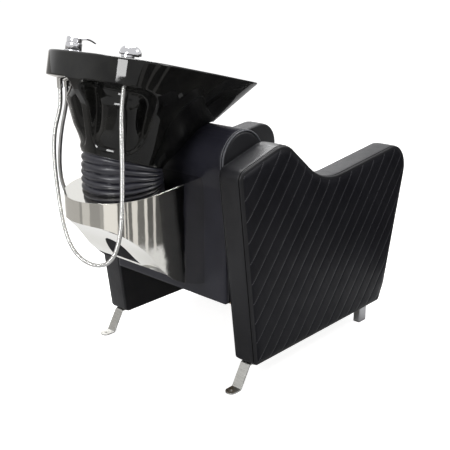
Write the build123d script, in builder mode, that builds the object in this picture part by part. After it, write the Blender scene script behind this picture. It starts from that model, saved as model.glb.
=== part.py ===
from build123d import *
import os
from math import asin, atan, atan2, cos, degrees, hypot, pi, radians, sin, tan

# Backwash unit for a hair salon: an upholstered chair with a glazed basin that tilts
# on a bracket behind the backrest.  Lengths are in millimetres and angles in degrees.
# The origin lies on the floor, midway between the floor bolts of the two rear feet.
# +Z is up, the sitter faces -Y, the basin is at +Y and the sitter's right hand is at -X.

os.makedirs("parts", exist_ok=True)

# Overrun of every cut beyond the material that it removes
overrun = 4
# Air between soft pieces that only lie side by side
soft_gap = 0.3

# Arm panels
arm_width = 84
arm_clear_width = 512
arm_run = 917
arm_rise = 681
arm_rear = 14
arm_base = 74
arm_corner_shares = [
    (0.086, 0), (0, 0.911), (0.2203, 1), (0.4354, 0.765), (1, 0.856), (0.8735, 0.091), (0.8408, 0),
]
arm_base_radius = 10
arm_shoulder_radius = 32
arm_hump_radius = 90
arm_dip_radius = 220
arm_front_radius = 88
arm_toe_radius = 14
arm_pad_thickness = 12
arm_band_thickness = 10
arm_pad_round = 5
quilt_angle = 52
quilt_pitch = 47
quilt_groove_width = 4
quilt_groove_depth = 2
quilt_border = 14
quilt_start = 413

# Feet and legs
foot_spacing = 598
strip_width = 36
strip_thickness = 5
foot_bend = 24
foot_top = 66
foot_flange = 76
foot_pad_end = 18
foot_bend_share = 1.3
foot_round_share = 0.48
foot_screw_share = [0.3, 0.75]
floor_bolt_hole = 9
foot_screw_hole = 7
foot_screw_head = 3
screw_head_share = 1.8
leg_run = 44
leg_width = 27
leg_wall = 1.5
leg_corner_radius = 4
leg_middle_x = 297.5
leg_middle_y = 704
leg_cap_height = 6
leg_cap_lip = 2.5
leg_top_plate = 3

# Seat
rail_width = 40
rail_height = 20
rail_wall = 2
rail_rear = 150
rail_front = 660
seat_board_thickness = 18
seat_board_top = 330
seat_front = 800
seat_rear = 276
seat_rise = 118
seat_crown = 14
seat_draw = 9
seat_edge_radius = 22
apron_drop = 105
apron_thickness = 18

# Backrest
back_face = 30
back_foot = 262
back_pad_thickness = 18
board_thickness = 18
board_top = 640
back_pad_top = 650
roll_radius = 90
roll_reach = 100
roll_height = 700
roll_wall_foot = 620
back_front_bottom = 456
back_front_reach = 275
piping_radius = 3
panel_thickness = 6
panel_inset = 6.6
back_side_gap = 1

# Polished cover behind the backrest
cover_radius = 160
cover_middle = 157
cover_sheet = 1.5
shelf_height = 645
shelf_slope_share = 0.0858
shelf_plate = 2
shelf_hole_radius = 100
shelf_front = 21
cover_drop = 334
cover_floor_shares = [
    (0, 0.0), (0.141, 0.036), (0.262, 0.087), (0.398, 0.168), (0.461, 0.228), (0.547, 0.326),
    (0.634, 0.449), (0.720, 0.542), (0.807, 0.623), (0.922, 0.701), (1, 0.724),
]
plate_edge = 125
hem = 8
window_half_width = 58
window_height = 72
flange_width = 22
cover_screw_radius = 4
cover_screw_rise = 2.2
plate_lean_share = 1.35

# Bracket that carries the basin
bolt_across = 90
bolt_low = 445
bolt_high = 545
bracket_bolt_radius = 5
bolt_fit = 0.1
bolt_head = 6
bolt_head_radius = 8
base_plate_width = 140
base_plate_rise = 132
base_plate_thickness = 6
tube_width = 60
tube_height = 40
tube_wall = 3
tube_middle = 500
tube_end = 165
yoke_gap = 104
yoke_plate = 6
yoke_run = 44
pivot_y = 143
pivot_height = 624
lug_gap = 86
lug_plate = 6
lug_top_share = 1.3
eye_radius = 18
pin_radius = 8
pin_fit = 0.05
pin_head_radius = 13
pin_head = 7
pin_nut = 6
washer_radius = 14
washer_fit = 0.1
plate_radius = 110
plate_thickness = 5
waste_opening = 38

# Basin
rim_height = 959
rim_tilt = 12.8
rim_rear = 290
rim_front = 300
rim_half_width = 219
rim_rear_shares = [(0, 1), (0.46, 0.985), (0.83, 0.86), (0.985, 0.63), (1, 0.3)]
rim_front_shares = [(0.965, 0.15), (0.885, 0.52), (0.80, 0.84), (0.66, 0.975), (0.33, 1)]
collar_depth = 62
collar_step = 24
collar_shares = [1, 1, 1, 1, 0.75, 0.2, 0, 0, 0, 0]
basin_depth = 282
ring_v = 83
ring_radius = 118
ring_tilt = 5.5
wall = 11
deck = 92
bowl_lip = 20
bowl_depth = 222
bowl_floor_radius = 52
bowl_level_shares = [0, 0.49, 0.62, 0.85, 1]
bowl_shares = [
    [1, 1, 1, 1, 1, 1, 1, 1, 1, 1, 1],
    [0.8, 0.8, 0.8, 0.8, 0.8, 0.8, 0.8, 0.8, 0.8, 0.8, 0.8],
    [0.72, 0.72, 0.72, 0.72, 0.72, 0.71, 0.66, 0.48, 0.42, 0.405, 0.4],
    [0.48, 0.48, 0.48, 0.48, 0.48, 0.48, 0.45, 0.33, 0.285, 0.27, 0.265],
    [0, 0, 0, 0, 0, 0, 0, 0, 0, 0, 0],
]
roll_clearance = 4
drain_radius = 22.5
neck_radius = 92
neck_middle_lift = 64
neck_run = 60
scoop_angle = 50
scoop_slope = 17.5
scoop_axis_y = 143
scoop_top = 930
scoop_floor = 165
scoop_half_width = 80
scoop_foot_half_width = 66
scoop_height = 168
scoop_corner = 28
scoop_out = 90
hollow_radius = 106
hollow_flare = 16
pillar_v = 226
pillar_run = 34
pillar_top_half = 52
pillar_foot_half = 20
pocket_radius = 24
pocket_depth = 58
socket_radius = 17
socket_run = 100

# Waste fitting
strainer_radius = 34
strainer_flange = 2.5
strainer_hole = 3
strainer_ring = 12
strainer_hole_count = 8
strainer_tube_radius = 22
strainer_tube_wall = 3
strainer_below = 26
waste_nut_radius = 30
waste_nut_height = 12
tail_flange = 3
tail_radius = 13
tail_wall = 2
tail_length = 48
union_y = 188
union_height = 488
union_rise = 40
drain_straight = 40
drain_bends = [(0, 170, 607), (0, 188, 566)]

# Bellows
bellows_root_radius = 111
bellows_crest_radius = 121
bellows_groove = 8
bellows_wall = 3
bellows_folds = 5
bellows_y = 143.6
cuff_share = 0.08
clamp_height = 3
clamp_thickness = 2.5
cuff_ease = 1.3
ring_ease = 1.5

# Mixer tap
mixer_x = 87
mixer_v = 236
mixer_base_radius = 25
mixer_base_height = 4
mixer_radius = 21.5
mixer_body_height = 20
cup_depth = 12
cup_fit = 0.3
cap_radius = 20
cap_wall = 3
cap_lift = 23
cartridge_radius = 12.5
cartridge_rise = 8
lever_pin_radius = 2.5
lever_start = 14
lever_length = 60
lever_width = 13
lever_thickness = 3.6
lever_arch = 9
lever_rise = 12
marker_radius = 3
marker_depth = 1
marker_up_share = 0.55
inlet_length = 50
inlet_radius = 11
inlet_nut_radius = 19
inlet_nut = 6

# Pull-out handset and its holder
handset_x = 138
handset_v = 232
holder_radius = 18
holder_rise = 8
holder_depth = 30
holder_bore = 12.5
stem_radius = 12.4
stem_below = 34
stem_collar = 16
head_radius = 29
head_rise = 18
head_lift = 11
head_forward = 8
face_radius = 9
face_thickness = 4
hose_nut_radius = 10
hose_nut_height = 16

# Hoses: control points in millimetres, the same ones that the looks use
shower_hose_diameter = 12.5
supply_hose_diameter = 9
gland_wall = 2
gland_run = 44
supply_step = (9.9, -10.4)
bend_share = 0.45
shower_route = [
    (-138, 237.3, 961.6), (-138, 245.6, 925), (-138.5, 256, 862), (-147.5, 265.5, 788),
    (-152.5, 272, 705), (-151.5, 276.5, 620), (-145, 279.5, 547), (-126, 281, 489),
    (-92, 279, 447), (-45, 275, 423), (13, 269.5, 411), (69, 265, 418), (113, 260, 441),
    (145, 254.5, 481), (163, 251.5, 535), (172, 251.5, 600), (179.5, 251.5, 672),
    (180, 249, 741), (172.5, 246, 790), (158, 240.5, 832), (149.5, 236, 869.5),
    (149.5, 236, 906.5),
]
supply_route = [
    (156, 210, 906.5), (156, 210, 873), (164.5, 214.5, 833), (176.5, 218, 794),
    (184.5, 222, 752), (187, 227, 708), (186.5, 230.5, 664), (186.5, 227, 621),
    (188, 213, 581), (190, 189, 550), (192, 157, 527), (193.5, 121, 512),
    (194.5, 84, 503), (195, 47, 497.5), (195, 10, 497.5),
]
fitting_block_width = 64
fitting_block_rise = 46
fitting_block_run = 14
inlet_spacing = 32
inlet_thread_radius = 4.5
inlet_depth = 20

def keep(piece, name):
    """Label a finished piece and write it as a file of its own."""
    piece.label = name
    export_step(piece, f"parts/{name}.step")


def keep_pair(piece, name):
    """Keep a piece of the sitter's right side and its mirror image on the left."""
    keep(piece, f"right_{name}")
    keep(mirror(piece, about=Plane.YZ), f"left_{name}")


def keep_both(piece, name):
    """Keep a piece of the sitter's right side and its mirror image together under one name."""
    keep(piece + mirror(piece, about=Plane.YZ), name)


# Arm panels: a core between two pads, with a band round its edge
arm_inner = arm_clear_width / 2
arm_outer = arm_inner + arm_width
arm_corners = [(arm_rear - arm_run * a, arm_base + arm_rise * b) for a, b in arm_corner_shares]
arm_radii = [
    arm_base_radius, arm_shoulder_radius, arm_hump_radius, arm_dip_radius,
    arm_front_radius, arm_toe_radius, arm_toe_radius,
]


def arm_face(inset=0):
    """Return the arm's side outline, drawn in all round by inset."""
    with BuildSketch() as outline:
        with BuildLine():
            FilletPolyline(*arm_corners, radius=arm_radii, close=True)
        make_face()
        if inset:
            offset(amount=-inset)
    return outline.sketch


core_width = arm_width - 2 * arm_pad_thickness
core_plane = Plane.YZ.offset(-arm_inner - arm_pad_thickness - core_width)
with BuildPart() as arm_core:
    with BuildSketch(core_plane):
        add(arm_face(arm_band_thickness))
    extrude(amount=core_width)
keep_pair(arm_core.part, "arm_core")

with BuildPart() as arm_band:
    with BuildSketch(core_plane):
        add(arm_face())
        add(arm_face(arm_band_thickness), mode=Mode.SUBTRACT)
    extrude(amount=core_width)
keep_pair(arm_band.part, "arm_band")

with BuildPart() as arm_inner_pad:
    with BuildSketch(Plane.YZ.offset(-arm_inner - arm_pad_thickness)):
        add(arm_face())
    extrude(amount=arm_pad_thickness)
    fillet(faces().sort_by(Axis.X)[-1].edges(), radius=arm_pad_round)
keep_pair(arm_inner_pad.part, "arm_inner_pad")

quilt_step = quilt_pitch / sin(radians(quilt_angle))
quilt_reach = arm_rise / tan(radians(quilt_angle))
quilt_count = int((arm_run + quilt_reach) / quilt_step) + 1


def quilt_line(along):
    """Return one sewn line of the quilting, a narrow slanting strip up the arm's whole face."""
    half = quilt_groove_width / 2
    top = along - quilt_reach
    with BuildSketch() as strip:
        with BuildLine():
            Polyline(
                (along - half, arm_base), (along + half, arm_base),
                (top + half, arm_base + arm_rise), (top - half, arm_base + arm_rise), close=True,
            )
        make_face()
    return strip.sketch


with BuildPart() as arm_outer_pad:
    with BuildSketch(Plane.YZ.offset(-arm_outer)):
        add(arm_face())
    extrude(amount=arm_pad_thickness)
    fillet(faces().sort_by(Axis.X)[0].edges(), radius=arm_pad_round)
    with BuildSketch(Plane.YZ.offset(-arm_outer)):
        add([quilt_line(quilt_start - quilt_step * row) for row in range(quilt_count)])
        add(arm_face(quilt_border), mode=Mode.INTERSECT)
    extrude(amount=quilt_groove_depth, mode=Mode.SUBTRACT)
keep_pair(arm_outer_pad.part, "arm_outer_pad")

# Rear feet: a flat strip screwed under each arm, bent down and back to a floor pad
foot_screw_places = [-foot_top - foot_flange * a for a in foot_screw_share]
strip_path = [
    (foot_pad_end, strip_thickness / 2), (-foot_bend, strip_thickness / 2),
    (-foot_top, arm_base - strip_thickness / 2),
    (-foot_top - foot_flange, arm_base - strip_thickness / 2),
]
strip_corner = strip_thickness * foot_bend_share
with BuildPart() as rear_foot:
    with BuildSketch(Plane.YZ.offset(-foot_spacing / 2 - strip_width / 2)):
        with BuildLine() as strip_line:
            FilletPolyline(*strip_path, radius=strip_corner)
        trace(strip_line.line, line_width=strip_thickness)
    extrude(amount=strip_width)
    pad_corners = edges().filter_by(Axis.Z).sort_by(Axis.Y)[-2:]
    fillet(pad_corners, radius=strip_width * foot_round_share)
    with Locations((-foot_spacing / 2, 0, strip_thickness)):
        Hole(floor_bolt_hole / 2, depth=strip_thickness)
    with Locations(*[(-foot_spacing / 2, y, arm_base) for y in foot_screw_places]):
        Hole(foot_screw_hole / 2, depth=strip_thickness)
keep_pair(rear_foot.part, "rear_foot")

with BuildPart() as foot_screws:
    for side in (-1, 1):
        for y in foot_screw_places:
            with BuildSketch(Plane.XY.offset(arm_base - strip_thickness - foot_screw_head)):
                with Locations((side * foot_spacing / 2, y)):
                    Circle(foot_screw_hole * screw_head_share / 2)
                    RegularPolygon(foot_screw_hole / 3, 6, mode=Mode.SUBTRACT)
            extrude(amount=foot_screw_head)
            with BuildSketch(Plane.XY.offset(arm_base - strip_thickness)):
                with Locations((side * foot_spacing / 2, y)):
                    Circle(foot_screw_hole / 2)
            extrude(amount=strip_thickness)
keep(foot_screws.part, "foot_screws")

# Front legs: rectangular tube with a glide pressed into its open foot
with BuildPart() as front_leg:
    with BuildSketch(Plane.XY.offset(leg_cap_lip)):
        with Locations((-leg_middle_x, -leg_middle_y)):
            RectangleRounded(leg_width, leg_run, leg_corner_radius)
    extrude(amount=arm_base - leg_cap_lip)
    with BuildSketch(Plane.XY.offset(leg_cap_lip)):
        with Locations((-leg_middle_x, -leg_middle_y)):
            RectangleRounded(leg_width - 2 * leg_wall, leg_run - 2 * leg_wall, leg_corner_radius - leg_wall)
    extrude(amount=arm_base - leg_cap_lip - leg_top_plate, mode=Mode.SUBTRACT)
keep_pair(front_leg.part, "front_leg")

with BuildPart() as leg_glide:
    with BuildSketch(Plane.XY):
        with Locations((-leg_middle_x, -leg_middle_y)):
            RectangleRounded(leg_width, leg_run, leg_corner_radius)
    extrude(amount=leg_cap_lip)
    with BuildSketch(Plane.XY.offset(leg_cap_lip)):
        with Locations((-leg_middle_x, -leg_middle_y)):
            RectangleRounded(leg_width - 2 * leg_wall, leg_run - 2 * leg_wall, leg_corner_radius - leg_wall)
    extrude(amount=leg_cap_height)
keep_both(leg_glide.part, "leg_glides")

# Seat: two cross rails between the arms carry a board, a cushion and a front apron
board_bottom = seat_board_top - seat_board_thickness
rail_middle = board_bottom - rail_height / 2
with BuildPart() as cross_rails:
    with BuildSketch(Plane.YZ.offset(-arm_inner)):
        with Locations((-rail_rear, rail_middle), (-rail_front, rail_middle)):
            RectangleRounded(rail_width, rail_height, rail_wall)
            Rectangle(rail_width - 2 * rail_wall, rail_height - 2 * rail_wall, mode=Mode.SUBTRACT)
    extrude(amount=arm_clear_width)
keep(cross_rails.part, "cross_rails")

soft_width = arm_clear_width - 2 * back_side_gap
board_front_face = back_face + back_pad_thickness
board_rear_face = board_front_face + board_thickness
with BuildPart() as seat_board:
    with BuildSketch(Plane.XY.offset(board_bottom)):
        with Locations((0, -(board_rear_face + seat_front - apron_thickness) / 2)):
            Rectangle(soft_width, seat_front - apron_thickness - board_rear_face)
    extrude(amount=seat_board_thickness)
keep(seat_board.part, "seat_board")

with BuildPart() as seat_cushion:
    seat_middle = -(seat_front + seat_rear) / 2
    seat_run = seat_front - seat_rear
    seat_top = seat_board_top + seat_rise
    with BuildSketch(Plane.XZ.offset(seat_rear)):
        with BuildLine():
            half = soft_width / 2
            Line((-half + seat_edge_radius, seat_board_top), (half - seat_edge_radius, seat_board_top))
            ThreePointArc(
                (half - seat_edge_radius, seat_board_top), (half, seat_board_top + seat_rise / 2),
                (half - seat_edge_radius, seat_top - seat_crown),
            )
            ThreePointArc(
                (half - seat_edge_radius, seat_top - seat_crown), (0, seat_top),
                (-half + seat_edge_radius, seat_top - seat_crown),
            )
            ThreePointArc(
                (-half + seat_edge_radius, seat_top - seat_crown), (-half, seat_board_top + seat_rise / 2),
                (-half + seat_edge_radius, seat_board_top),
            )
        make_face()
    extrude(amount=seat_run)
    with BuildSketch(Plane.XY.offset(seat_board_top)):
        with BuildLine():
            ThreePointArc(
                (-half, -seat_rear), (-half + seat_draw, seat_middle), (-half, -seat_front),
            )
            ThreePointArc((-half, -seat_front), (0, -seat_front + seat_draw), (half, -seat_front))
            ThreePointArc((half, -seat_front), (half - seat_draw, seat_middle), (half, -seat_rear))
            Line((half, -seat_rear), (-half, -seat_rear))
        make_face()
    extrude(amount=seat_rise, mode=Mode.INTERSECT)
    with BuildSketch(Plane.YZ.offset(-half)):
        with BuildLine():
            Polyline(
                (-seat_front, seat_board_top), (-seat_rear, seat_board_top),
                (-seat_rear, seat_top),
            )
            Spline(
                (-seat_rear, seat_top), (seat_middle, seat_top - seat_crown / 3),
                (-seat_front + seat_edge_radius, seat_top - seat_crown),
                (-seat_front, seat_top - seat_rise / 2),
                (-seat_front, seat_board_top),
            )
        make_face()
    extrude(amount=soft_width, mode=Mode.INTERSECT)
keep(seat_cushion.part, "seat_cushion")

with BuildPart() as front_apron:
    with BuildSketch(Plane.XY.offset(seat_board_top - apron_drop)):
        with Locations((0, -seat_front + apron_thickness / 2)):
            Rectangle(soft_width, apron_thickness)
    extrude(amount=apron_drop)
    fillet(edges().filter_by(Axis.X).group_by(Axis.Y)[0], radius=apron_thickness / 4)
keep(front_apron.part, "front_apron")

# Backrest: a board with a rear pad, and a front cushion that rolls over the board's top
def tangent_point(start, middle, radius, turn):
    """Return where a line from start touches a circle; turn chooses the side."""
    away = hypot(middle[0] - start[0], middle[1] - start[1])
    heading = atan2(middle[1] - start[1], middle[0] - start[0]) + turn * asin(radius / away)
    reach = (away**2 - radius**2) ** 0.5
    return (start[0] + reach * cos(heading), start[1] + reach * sin(heading))


roll_middle = (-roll_reach, roll_height)


def back_line(inset):
    """Return the corner and tangent points of the backrest's side outline, drawn in by inset."""
    rear_corner = (-back_face - inset, roll_wall_foot)
    front_corner = (-back_front_reach + inset, back_front_bottom)
    rear_touch = tangent_point(rear_corner, roll_middle, roll_radius - inset, -1)
    front_touch = tangent_point(front_corner, roll_middle, roll_radius - inset, 1)
    crown = (-roll_reach, roll_height + roll_radius - inset)
    return rear_corner, rear_touch, crown, front_touch, front_corner


def back_face_sketch(inset):
    """Return the side face of the whole backrest, drawn in by inset at the rear, top and front."""
    rear_corner, rear_touch, crown, front_touch, front_corner = back_line(inset)
    with BuildSketch() as outline:
        with BuildLine():
            Polyline((-board_rear_face, seat_board_top), (-board_rear_face, back_foot))
            Polyline((-board_rear_face, back_foot), (rear_corner[0], back_foot), rear_corner, rear_touch)
            ThreePointArc(rear_touch, crown, front_touch)
            Polyline(front_touch, front_corner, (front_corner[0], seat_board_top))
            Line((front_corner[0], seat_board_top), (-board_rear_face, seat_board_top))
        make_face()
    return outline.sketch


with BuildPart() as back_board:
    with BuildSketch(Plane.XY.offset(back_foot)):
        with Locations((0, -(board_front_face + board_rear_face) / 2)):
            Rectangle(arm_clear_width, board_thickness)
    extrude(amount=board_top - back_foot)
    with Locations(*[
        Plane.XZ.offset(board_front_face) * Location((x, z, 0))
        for x in (-bolt_across / 2, bolt_across / 2) for z in (bolt_low, bolt_high)
    ]):
        Hole(bracket_bolt_radius, depth=board_thickness)
keep(back_board.part, "back_board")

with BuildPart() as back_rear_pad:
    with BuildSketch(Plane.YZ.offset(-arm_inner + back_side_gap)):
        add(back_face_sketch(0))
        with Locations((-board_front_face, back_foot)):
            Rectangle(back_pad_thickness * 2, back_pad_top - back_foot, align=(Align.MIN, Align.MIN),
                      mode=Mode.INTERSECT)
    extrude(amount=soft_width)
    with Locations(*[
        Plane.XZ.offset(back_face) * Location((x, z, 0))
        for x in (-bolt_across / 2, bolt_across / 2) for z in (bolt_low, bolt_high)
    ]):
        Hole(bracket_bolt_radius, depth=back_pad_thickness)
keep(back_rear_pad.part, "back_rear_pad")

panel_x = arm_inner - back_side_gap - panel_thickness
with BuildPart() as back_cushion:
    with BuildSketch(Plane.YZ.offset(-panel_x)):
        add(back_face_sketch(0))
        with Locations((-board_front_face, back_foot)):
            Rectangle(roll_reach, back_pad_top - back_foot, align=(Align.MIN, Align.MIN), mode=Mode.SUBTRACT)
        with Locations((-board_rear_face, back_foot)):
            Rectangle(roll_reach, board_top - back_foot, align=(Align.MIN, Align.MIN), mode=Mode.SUBTRACT)
    extrude(amount=2 * panel_x)
keep(back_cushion.part, "back_cushion")

with BuildPart() as back_end_panel:
    with BuildSketch(Plane.YZ.offset(-panel_x - panel_thickness)):
        add(back_face_sketch(panel_inset))
        with Locations((-board_rear_face, back_foot)):
            Rectangle(roll_reach, back_pad_top - back_foot, align=(Align.MIN, Align.MIN), mode=Mode.SUBTRACT)
    extrude(amount=panel_thickness)
keep_both(back_end_panel.part, "back_end_panels")

with BuildPart() as back_piping:
    rear_corner, rear_touch, crown, front_touch, front_corner = back_line(piping_radius)
    climb = (back_pad_top + piping_radius - rear_corner[1]) / (rear_touch[1] - rear_corner[1])
    piping_start = (rear_corner[0] + (rear_touch[0] - rear_corner[0]) * climb, back_pad_top + piping_radius)
    with BuildLine(Plane.YZ.offset(-panel_x - piping_radius)) as piping_path:
        Line(piping_start, rear_touch)
        ThreePointArc(rear_touch, crown, front_touch)
        Line(front_touch, front_corner)
    with BuildSketch(Plane(origin=piping_path.line @ 0, z_dir=piping_path.line % 0)):
        Circle(piping_radius)
    sweep(path=piping_path.line)
keep_both(back_piping.part, "back_piping")

# Polished cover: a U of sheet behind the backrest, folded in below, with a window for pipes
cover_rear = cover_middle + cover_radius
cover_run = cover_rear + back_face
cover_low = shelf_height - cover_drop


def shelf_at(y):
    """Return the height of the sloping shelf at y."""
    return shelf_height - shelf_slope_share * y


def cover_plan(radius, reach=0):
    """Return the cover's U in plan, longer at its open end by reach."""
    with BuildSketch() as plan:
        with BuildLine():
            Polyline(
                (radius, cover_middle), (radius, -back_face - reach), (-radius, -back_face - reach),
                (-radius, cover_middle),
            )
            ThreePointArc((-radius, cover_middle), (0, cover_middle + radius), (radius, cover_middle))
        make_face()
    return plan.sketch


def cover_block(inset, reach):
    """Return the cover's form drawn in by inset, longer at its open front and top by reach."""
    floor_line = [
        (-back_face + cover_run * a, cover_low + cover_drop * b + inset * plate_lean_share)
        for a, b in cover_floor_shares
    ]
    with BuildPart() as block:
        with BuildSketch(Plane.YZ.offset(-cover_radius)):
            with BuildLine():
                Spline(*floor_line)
                Line(floor_line[-1], (cover_rear, shelf_at(cover_rear) - shelf_plate + reach))
                Polyline(
                    (cover_rear, shelf_at(cover_rear) - shelf_plate + reach),
                    (-shelf_front - reach, shelf_at(-shelf_front) - shelf_plate + reach),
                    (-back_face - reach, roll_wall_foot), (-back_face - reach, floor_line[0][1]),
                )
                if reach:
                    Line((-back_face - reach, floor_line[0][1]), floor_line[0])
            make_face()
        extrude(amount=2 * cover_radius)
        with BuildSketch(Plane.XY.offset(cover_low - overrun)):
            add(cover_plan(cover_radius - inset, reach))
        extrude(amount=cover_drop + cover_radius, mode=Mode.INTERSECT)
    return block.part


flange_middle = (cover_low + shelf_height) / 2
flange_rise = shelf_height - cover_low - 3 * flange_width
cover_screw_places = [
    Location((side * (cover_radius - flange_width / 2), -back_face + cover_sheet, flange_middle + lift))
    for side in (-1, 1) for lift in (-flange_rise / 3, flange_rise / 3)
]
with BuildPart() as rear_cover:
    add(cover_block(0, 0))
    add(cover_block(cover_sheet, overrun), mode=Mode.SUBTRACT)
    with BuildSketch(Plane.XY.offset(cover_low - overrun)):
        with Locations((0, -back_face - overrun)):
            Rectangle(
                2 * (cover_radius - cover_sheet), plate_edge + back_face + overrun,
                align=(Align.CENTER, Align.MIN),
            )
        with Locations((0, plate_edge + hem)):
            Ellipse(window_half_width, window_height)
        with Locations((0, plate_edge)):
            Rectangle(2 * window_half_width, hem, align=(Align.CENTER, Align.MIN), mode=Mode.SUBTRACT)
    extrude(amount=shelf_at(cover_rear) - flange_width - cover_low, mode=Mode.SUBTRACT)
    with BuildSketch(Plane.XZ.offset(back_face)):
        for side in (-1, 1):
            with Locations((side * (cover_radius - flange_width / 2), flange_middle)):
                Rectangle(flange_width, flange_rise)
    extrude(amount=-cover_sheet)
    for place in cover_screw_places:
        with Locations(Plane(origin=place.position, z_dir=(0, 1, 0))):
            Hole(cover_screw_radius / 2, depth=cover_sheet)
keep(rear_cover.part, "rear_cover")

with BuildPart() as cover_screws:
    for place in cover_screw_places:
        with BuildSketch(Plane(origin=place.position, z_dir=(0, 1, 0))):
            Circle(cover_screw_radius)
        extrude(amount=cover_screw_rise)
        with BuildSketch(Plane(origin=place.position, z_dir=(0, -1, 0))):
            Circle(cover_screw_radius / 2)
        extrude(amount=cover_sheet)
keep(cover_screws.part, "cover_screws")

shelf_plane = Plane(
    origin=(0, 0, shelf_height), x_dir=(1, 0, 0), z_dir=(0, shelf_slope_share, 1),
)
with BuildPart() as cover_shelf:
    with BuildSketch(Plane.XY.offset(shelf_at(cover_rear) - overrun)):
        add(cover_plan(cover_radius))
        with Locations((0, bellows_y)):
            Circle(shelf_hole_radius, mode=Mode.SUBTRACT)
    extrude(amount=cover_radius)
    with BuildSketch(Plane.YZ.offset(-cover_radius)):
        with BuildLine():
            Polyline(
                (-shelf_front, shelf_at(-shelf_front)), (cover_rear, shelf_at(cover_rear)),
                (cover_rear, shelf_at(cover_rear) - shelf_plate),
                (-shelf_front, shelf_at(-shelf_front) - shelf_plate), close=True,
            )
        make_face()
    extrude(amount=2 * cover_radius, mode=Mode.INTERSECT)
keep(cover_shelf.part, "cover_shelf")

# Bracket: a tube bolted to the backrest's board, with a yoke and a tilting plate
with BuildPart() as bracket_plate:
    with BuildSketch(Plane.XZ.offset(back_face)):
        with Locations((0, (bolt_low + bolt_high) / 2)):
            Rectangle(base_plate_width, base_plate_rise)
    extrude(amount=-base_plate_thickness)
    with Locations(*[
        Plane(origin=(x, -back_face + base_plate_thickness, z), z_dir=(0, 1, 0))
        for x in (-bolt_across / 2, bolt_across / 2) for z in (bolt_low, bolt_high)
    ]):
        Hole(bracket_bolt_radius, depth=base_plate_thickness)
keep(bracket_plate.part, "bracket_plate")

with BuildPart() as bracket_bolts:
    for x in (-bolt_across / 2, bolt_across / 2):
        for z in (bolt_low, bolt_high):
            with BuildSketch(Plane(origin=(x, -back_face + base_plate_thickness, z), z_dir=(0, 1, 0))):
                RegularPolygon(bolt_head_radius, 6)
            extrude(amount=bolt_head)
            with BuildSketch(Plane(origin=(x, -back_face + base_plate_thickness, z), z_dir=(0, -1, 0))):
                Circle(bracket_bolt_radius - bolt_fit)
            extrude(amount=base_plate_thickness + back_pad_thickness + board_thickness)
keep(bracket_bolts.part, "bracket_bolts")

tube_start = -back_face + base_plate_thickness
with BuildPart() as support_arm:
    with BuildSketch(Plane.XZ.offset(-tube_start)):
        with Locations((0, tube_middle)):
            RectangleRounded(tube_width, tube_height, tube_wall)
            Rectangle(tube_width - 2 * tube_wall, tube_height - 2 * tube_wall, mode=Mode.SUBTRACT)
    extrude(amount=-(tube_end - tube_start))
keep(support_arm.part, "support_arm")

yoke_foot = tube_middle + tube_height / 2
with BuildPart() as yoke:
    with BuildSketch(Plane.XY.offset(yoke_foot)):
        with Locations((0, pivot_y)):
            Rectangle(yoke_gap + 2 * yoke_plate, yoke_run)
    extrude(amount=yoke_plate)
    with BuildSketch(Plane.YZ.offset(-yoke_gap / 2 - yoke_plate)):
        with Locations((pivot_y, (yoke_foot + pivot_height) / 2)):
            Rectangle(yoke_run, pivot_height - yoke_foot)
        with Locations((pivot_y, pivot_height)):
            Circle(yoke_run / 2)
            Circle(pin_radius + pin_fit, mode=Mode.SUBTRACT)
    extrude(amount=yoke_plate)
    with BuildSketch(Plane.YZ.offset(yoke_gap / 2)):
        with Locations((pivot_y, (yoke_foot + pivot_height) / 2)):
            Rectangle(yoke_run, pivot_height - yoke_foot)
        with Locations((pivot_y, pivot_height)):
            Circle(yoke_run / 2)
            Circle(pin_radius + pin_fit, mode=Mode.SUBTRACT)
    extrude(amount=yoke_plate)
keep(yoke.part, "yoke")

lug_inner = lug_gap / 2
lug_outer = lug_inner + lug_plate
with BuildPart() as pivot_pins:
    for side in (-1, 1):
        yoke_face = side * (yoke_gap / 2 + yoke_plate)
        facing = Plane(origin=(yoke_face, pivot_y, pivot_height), z_dir=(side, 0, 0))
        with BuildSketch(facing):
            Circle(pin_head_radius)
        extrude(amount=pin_head)
        with BuildSketch(facing):
            Circle(pin_radius)
        extrude(amount=-(yoke_gap / 2 + yoke_plate - lug_inner + pin_nut))
keep(pivot_pins.part, "pivot_pins")

with BuildPart() as pivot_nuts:
    for side in (-1, 1):
        with BuildSketch(Plane(
            origin=(side * (lug_inner - washer_fit), pivot_y, pivot_height), z_dir=(-side, 0, 0),
        )):
            RegularPolygon(pin_head_radius, 6)
            Circle(pin_radius, mode=Mode.SUBTRACT)
        extrude(amount=pin_nut - washer_fit)
keep(pivot_nuts.part, "pivot_nuts")

with BuildPart() as pivot_washers:
    for side in (-1, 1):
        with BuildSketch(Plane(origin=(side * yoke_gap / 2, pivot_y, pivot_height), z_dir=(-side, 0, 0))):
            Circle(washer_radius)
            Circle(pin_radius, mode=Mode.SUBTRACT)
        extrude(amount=yoke_gap / 2 - lug_outer - washer_fit)
keep(pivot_washers.part, "pivot_washers")

# Basin: a glazed shell with a deck at the rear, a neck dip at the front and a hollow underside
rim_normal = (0, -sin(radians(rim_tilt)), cos(radians(rim_tilt)))
rim_plane = Plane(origin=(0, 0, rim_height), x_dir=(1, 0, 0), z_dir=rim_normal)
ring_angle = radians(rim_tilt + ring_tilt)
ring_normal = (0, -sin(ring_angle), cos(ring_angle))
ring_plane = Plane(
    origin=rim_plane.from_local_coords(Vector(0, ring_v, -basin_depth)), x_dir=(1, 0, 0), z_dir=ring_normal,
)
ring_middle = ring_plane.origin


def on_rim(x, v, lift=0):
    """Return the plane parallel to the rim whose origin is at x, v and lift in the rim's own axes."""
    return Plane(origin=rim_plane.from_local_coords(Vector(x, v, lift)), x_dir=(1, 0, 0), z_dir=rim_normal)


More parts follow.
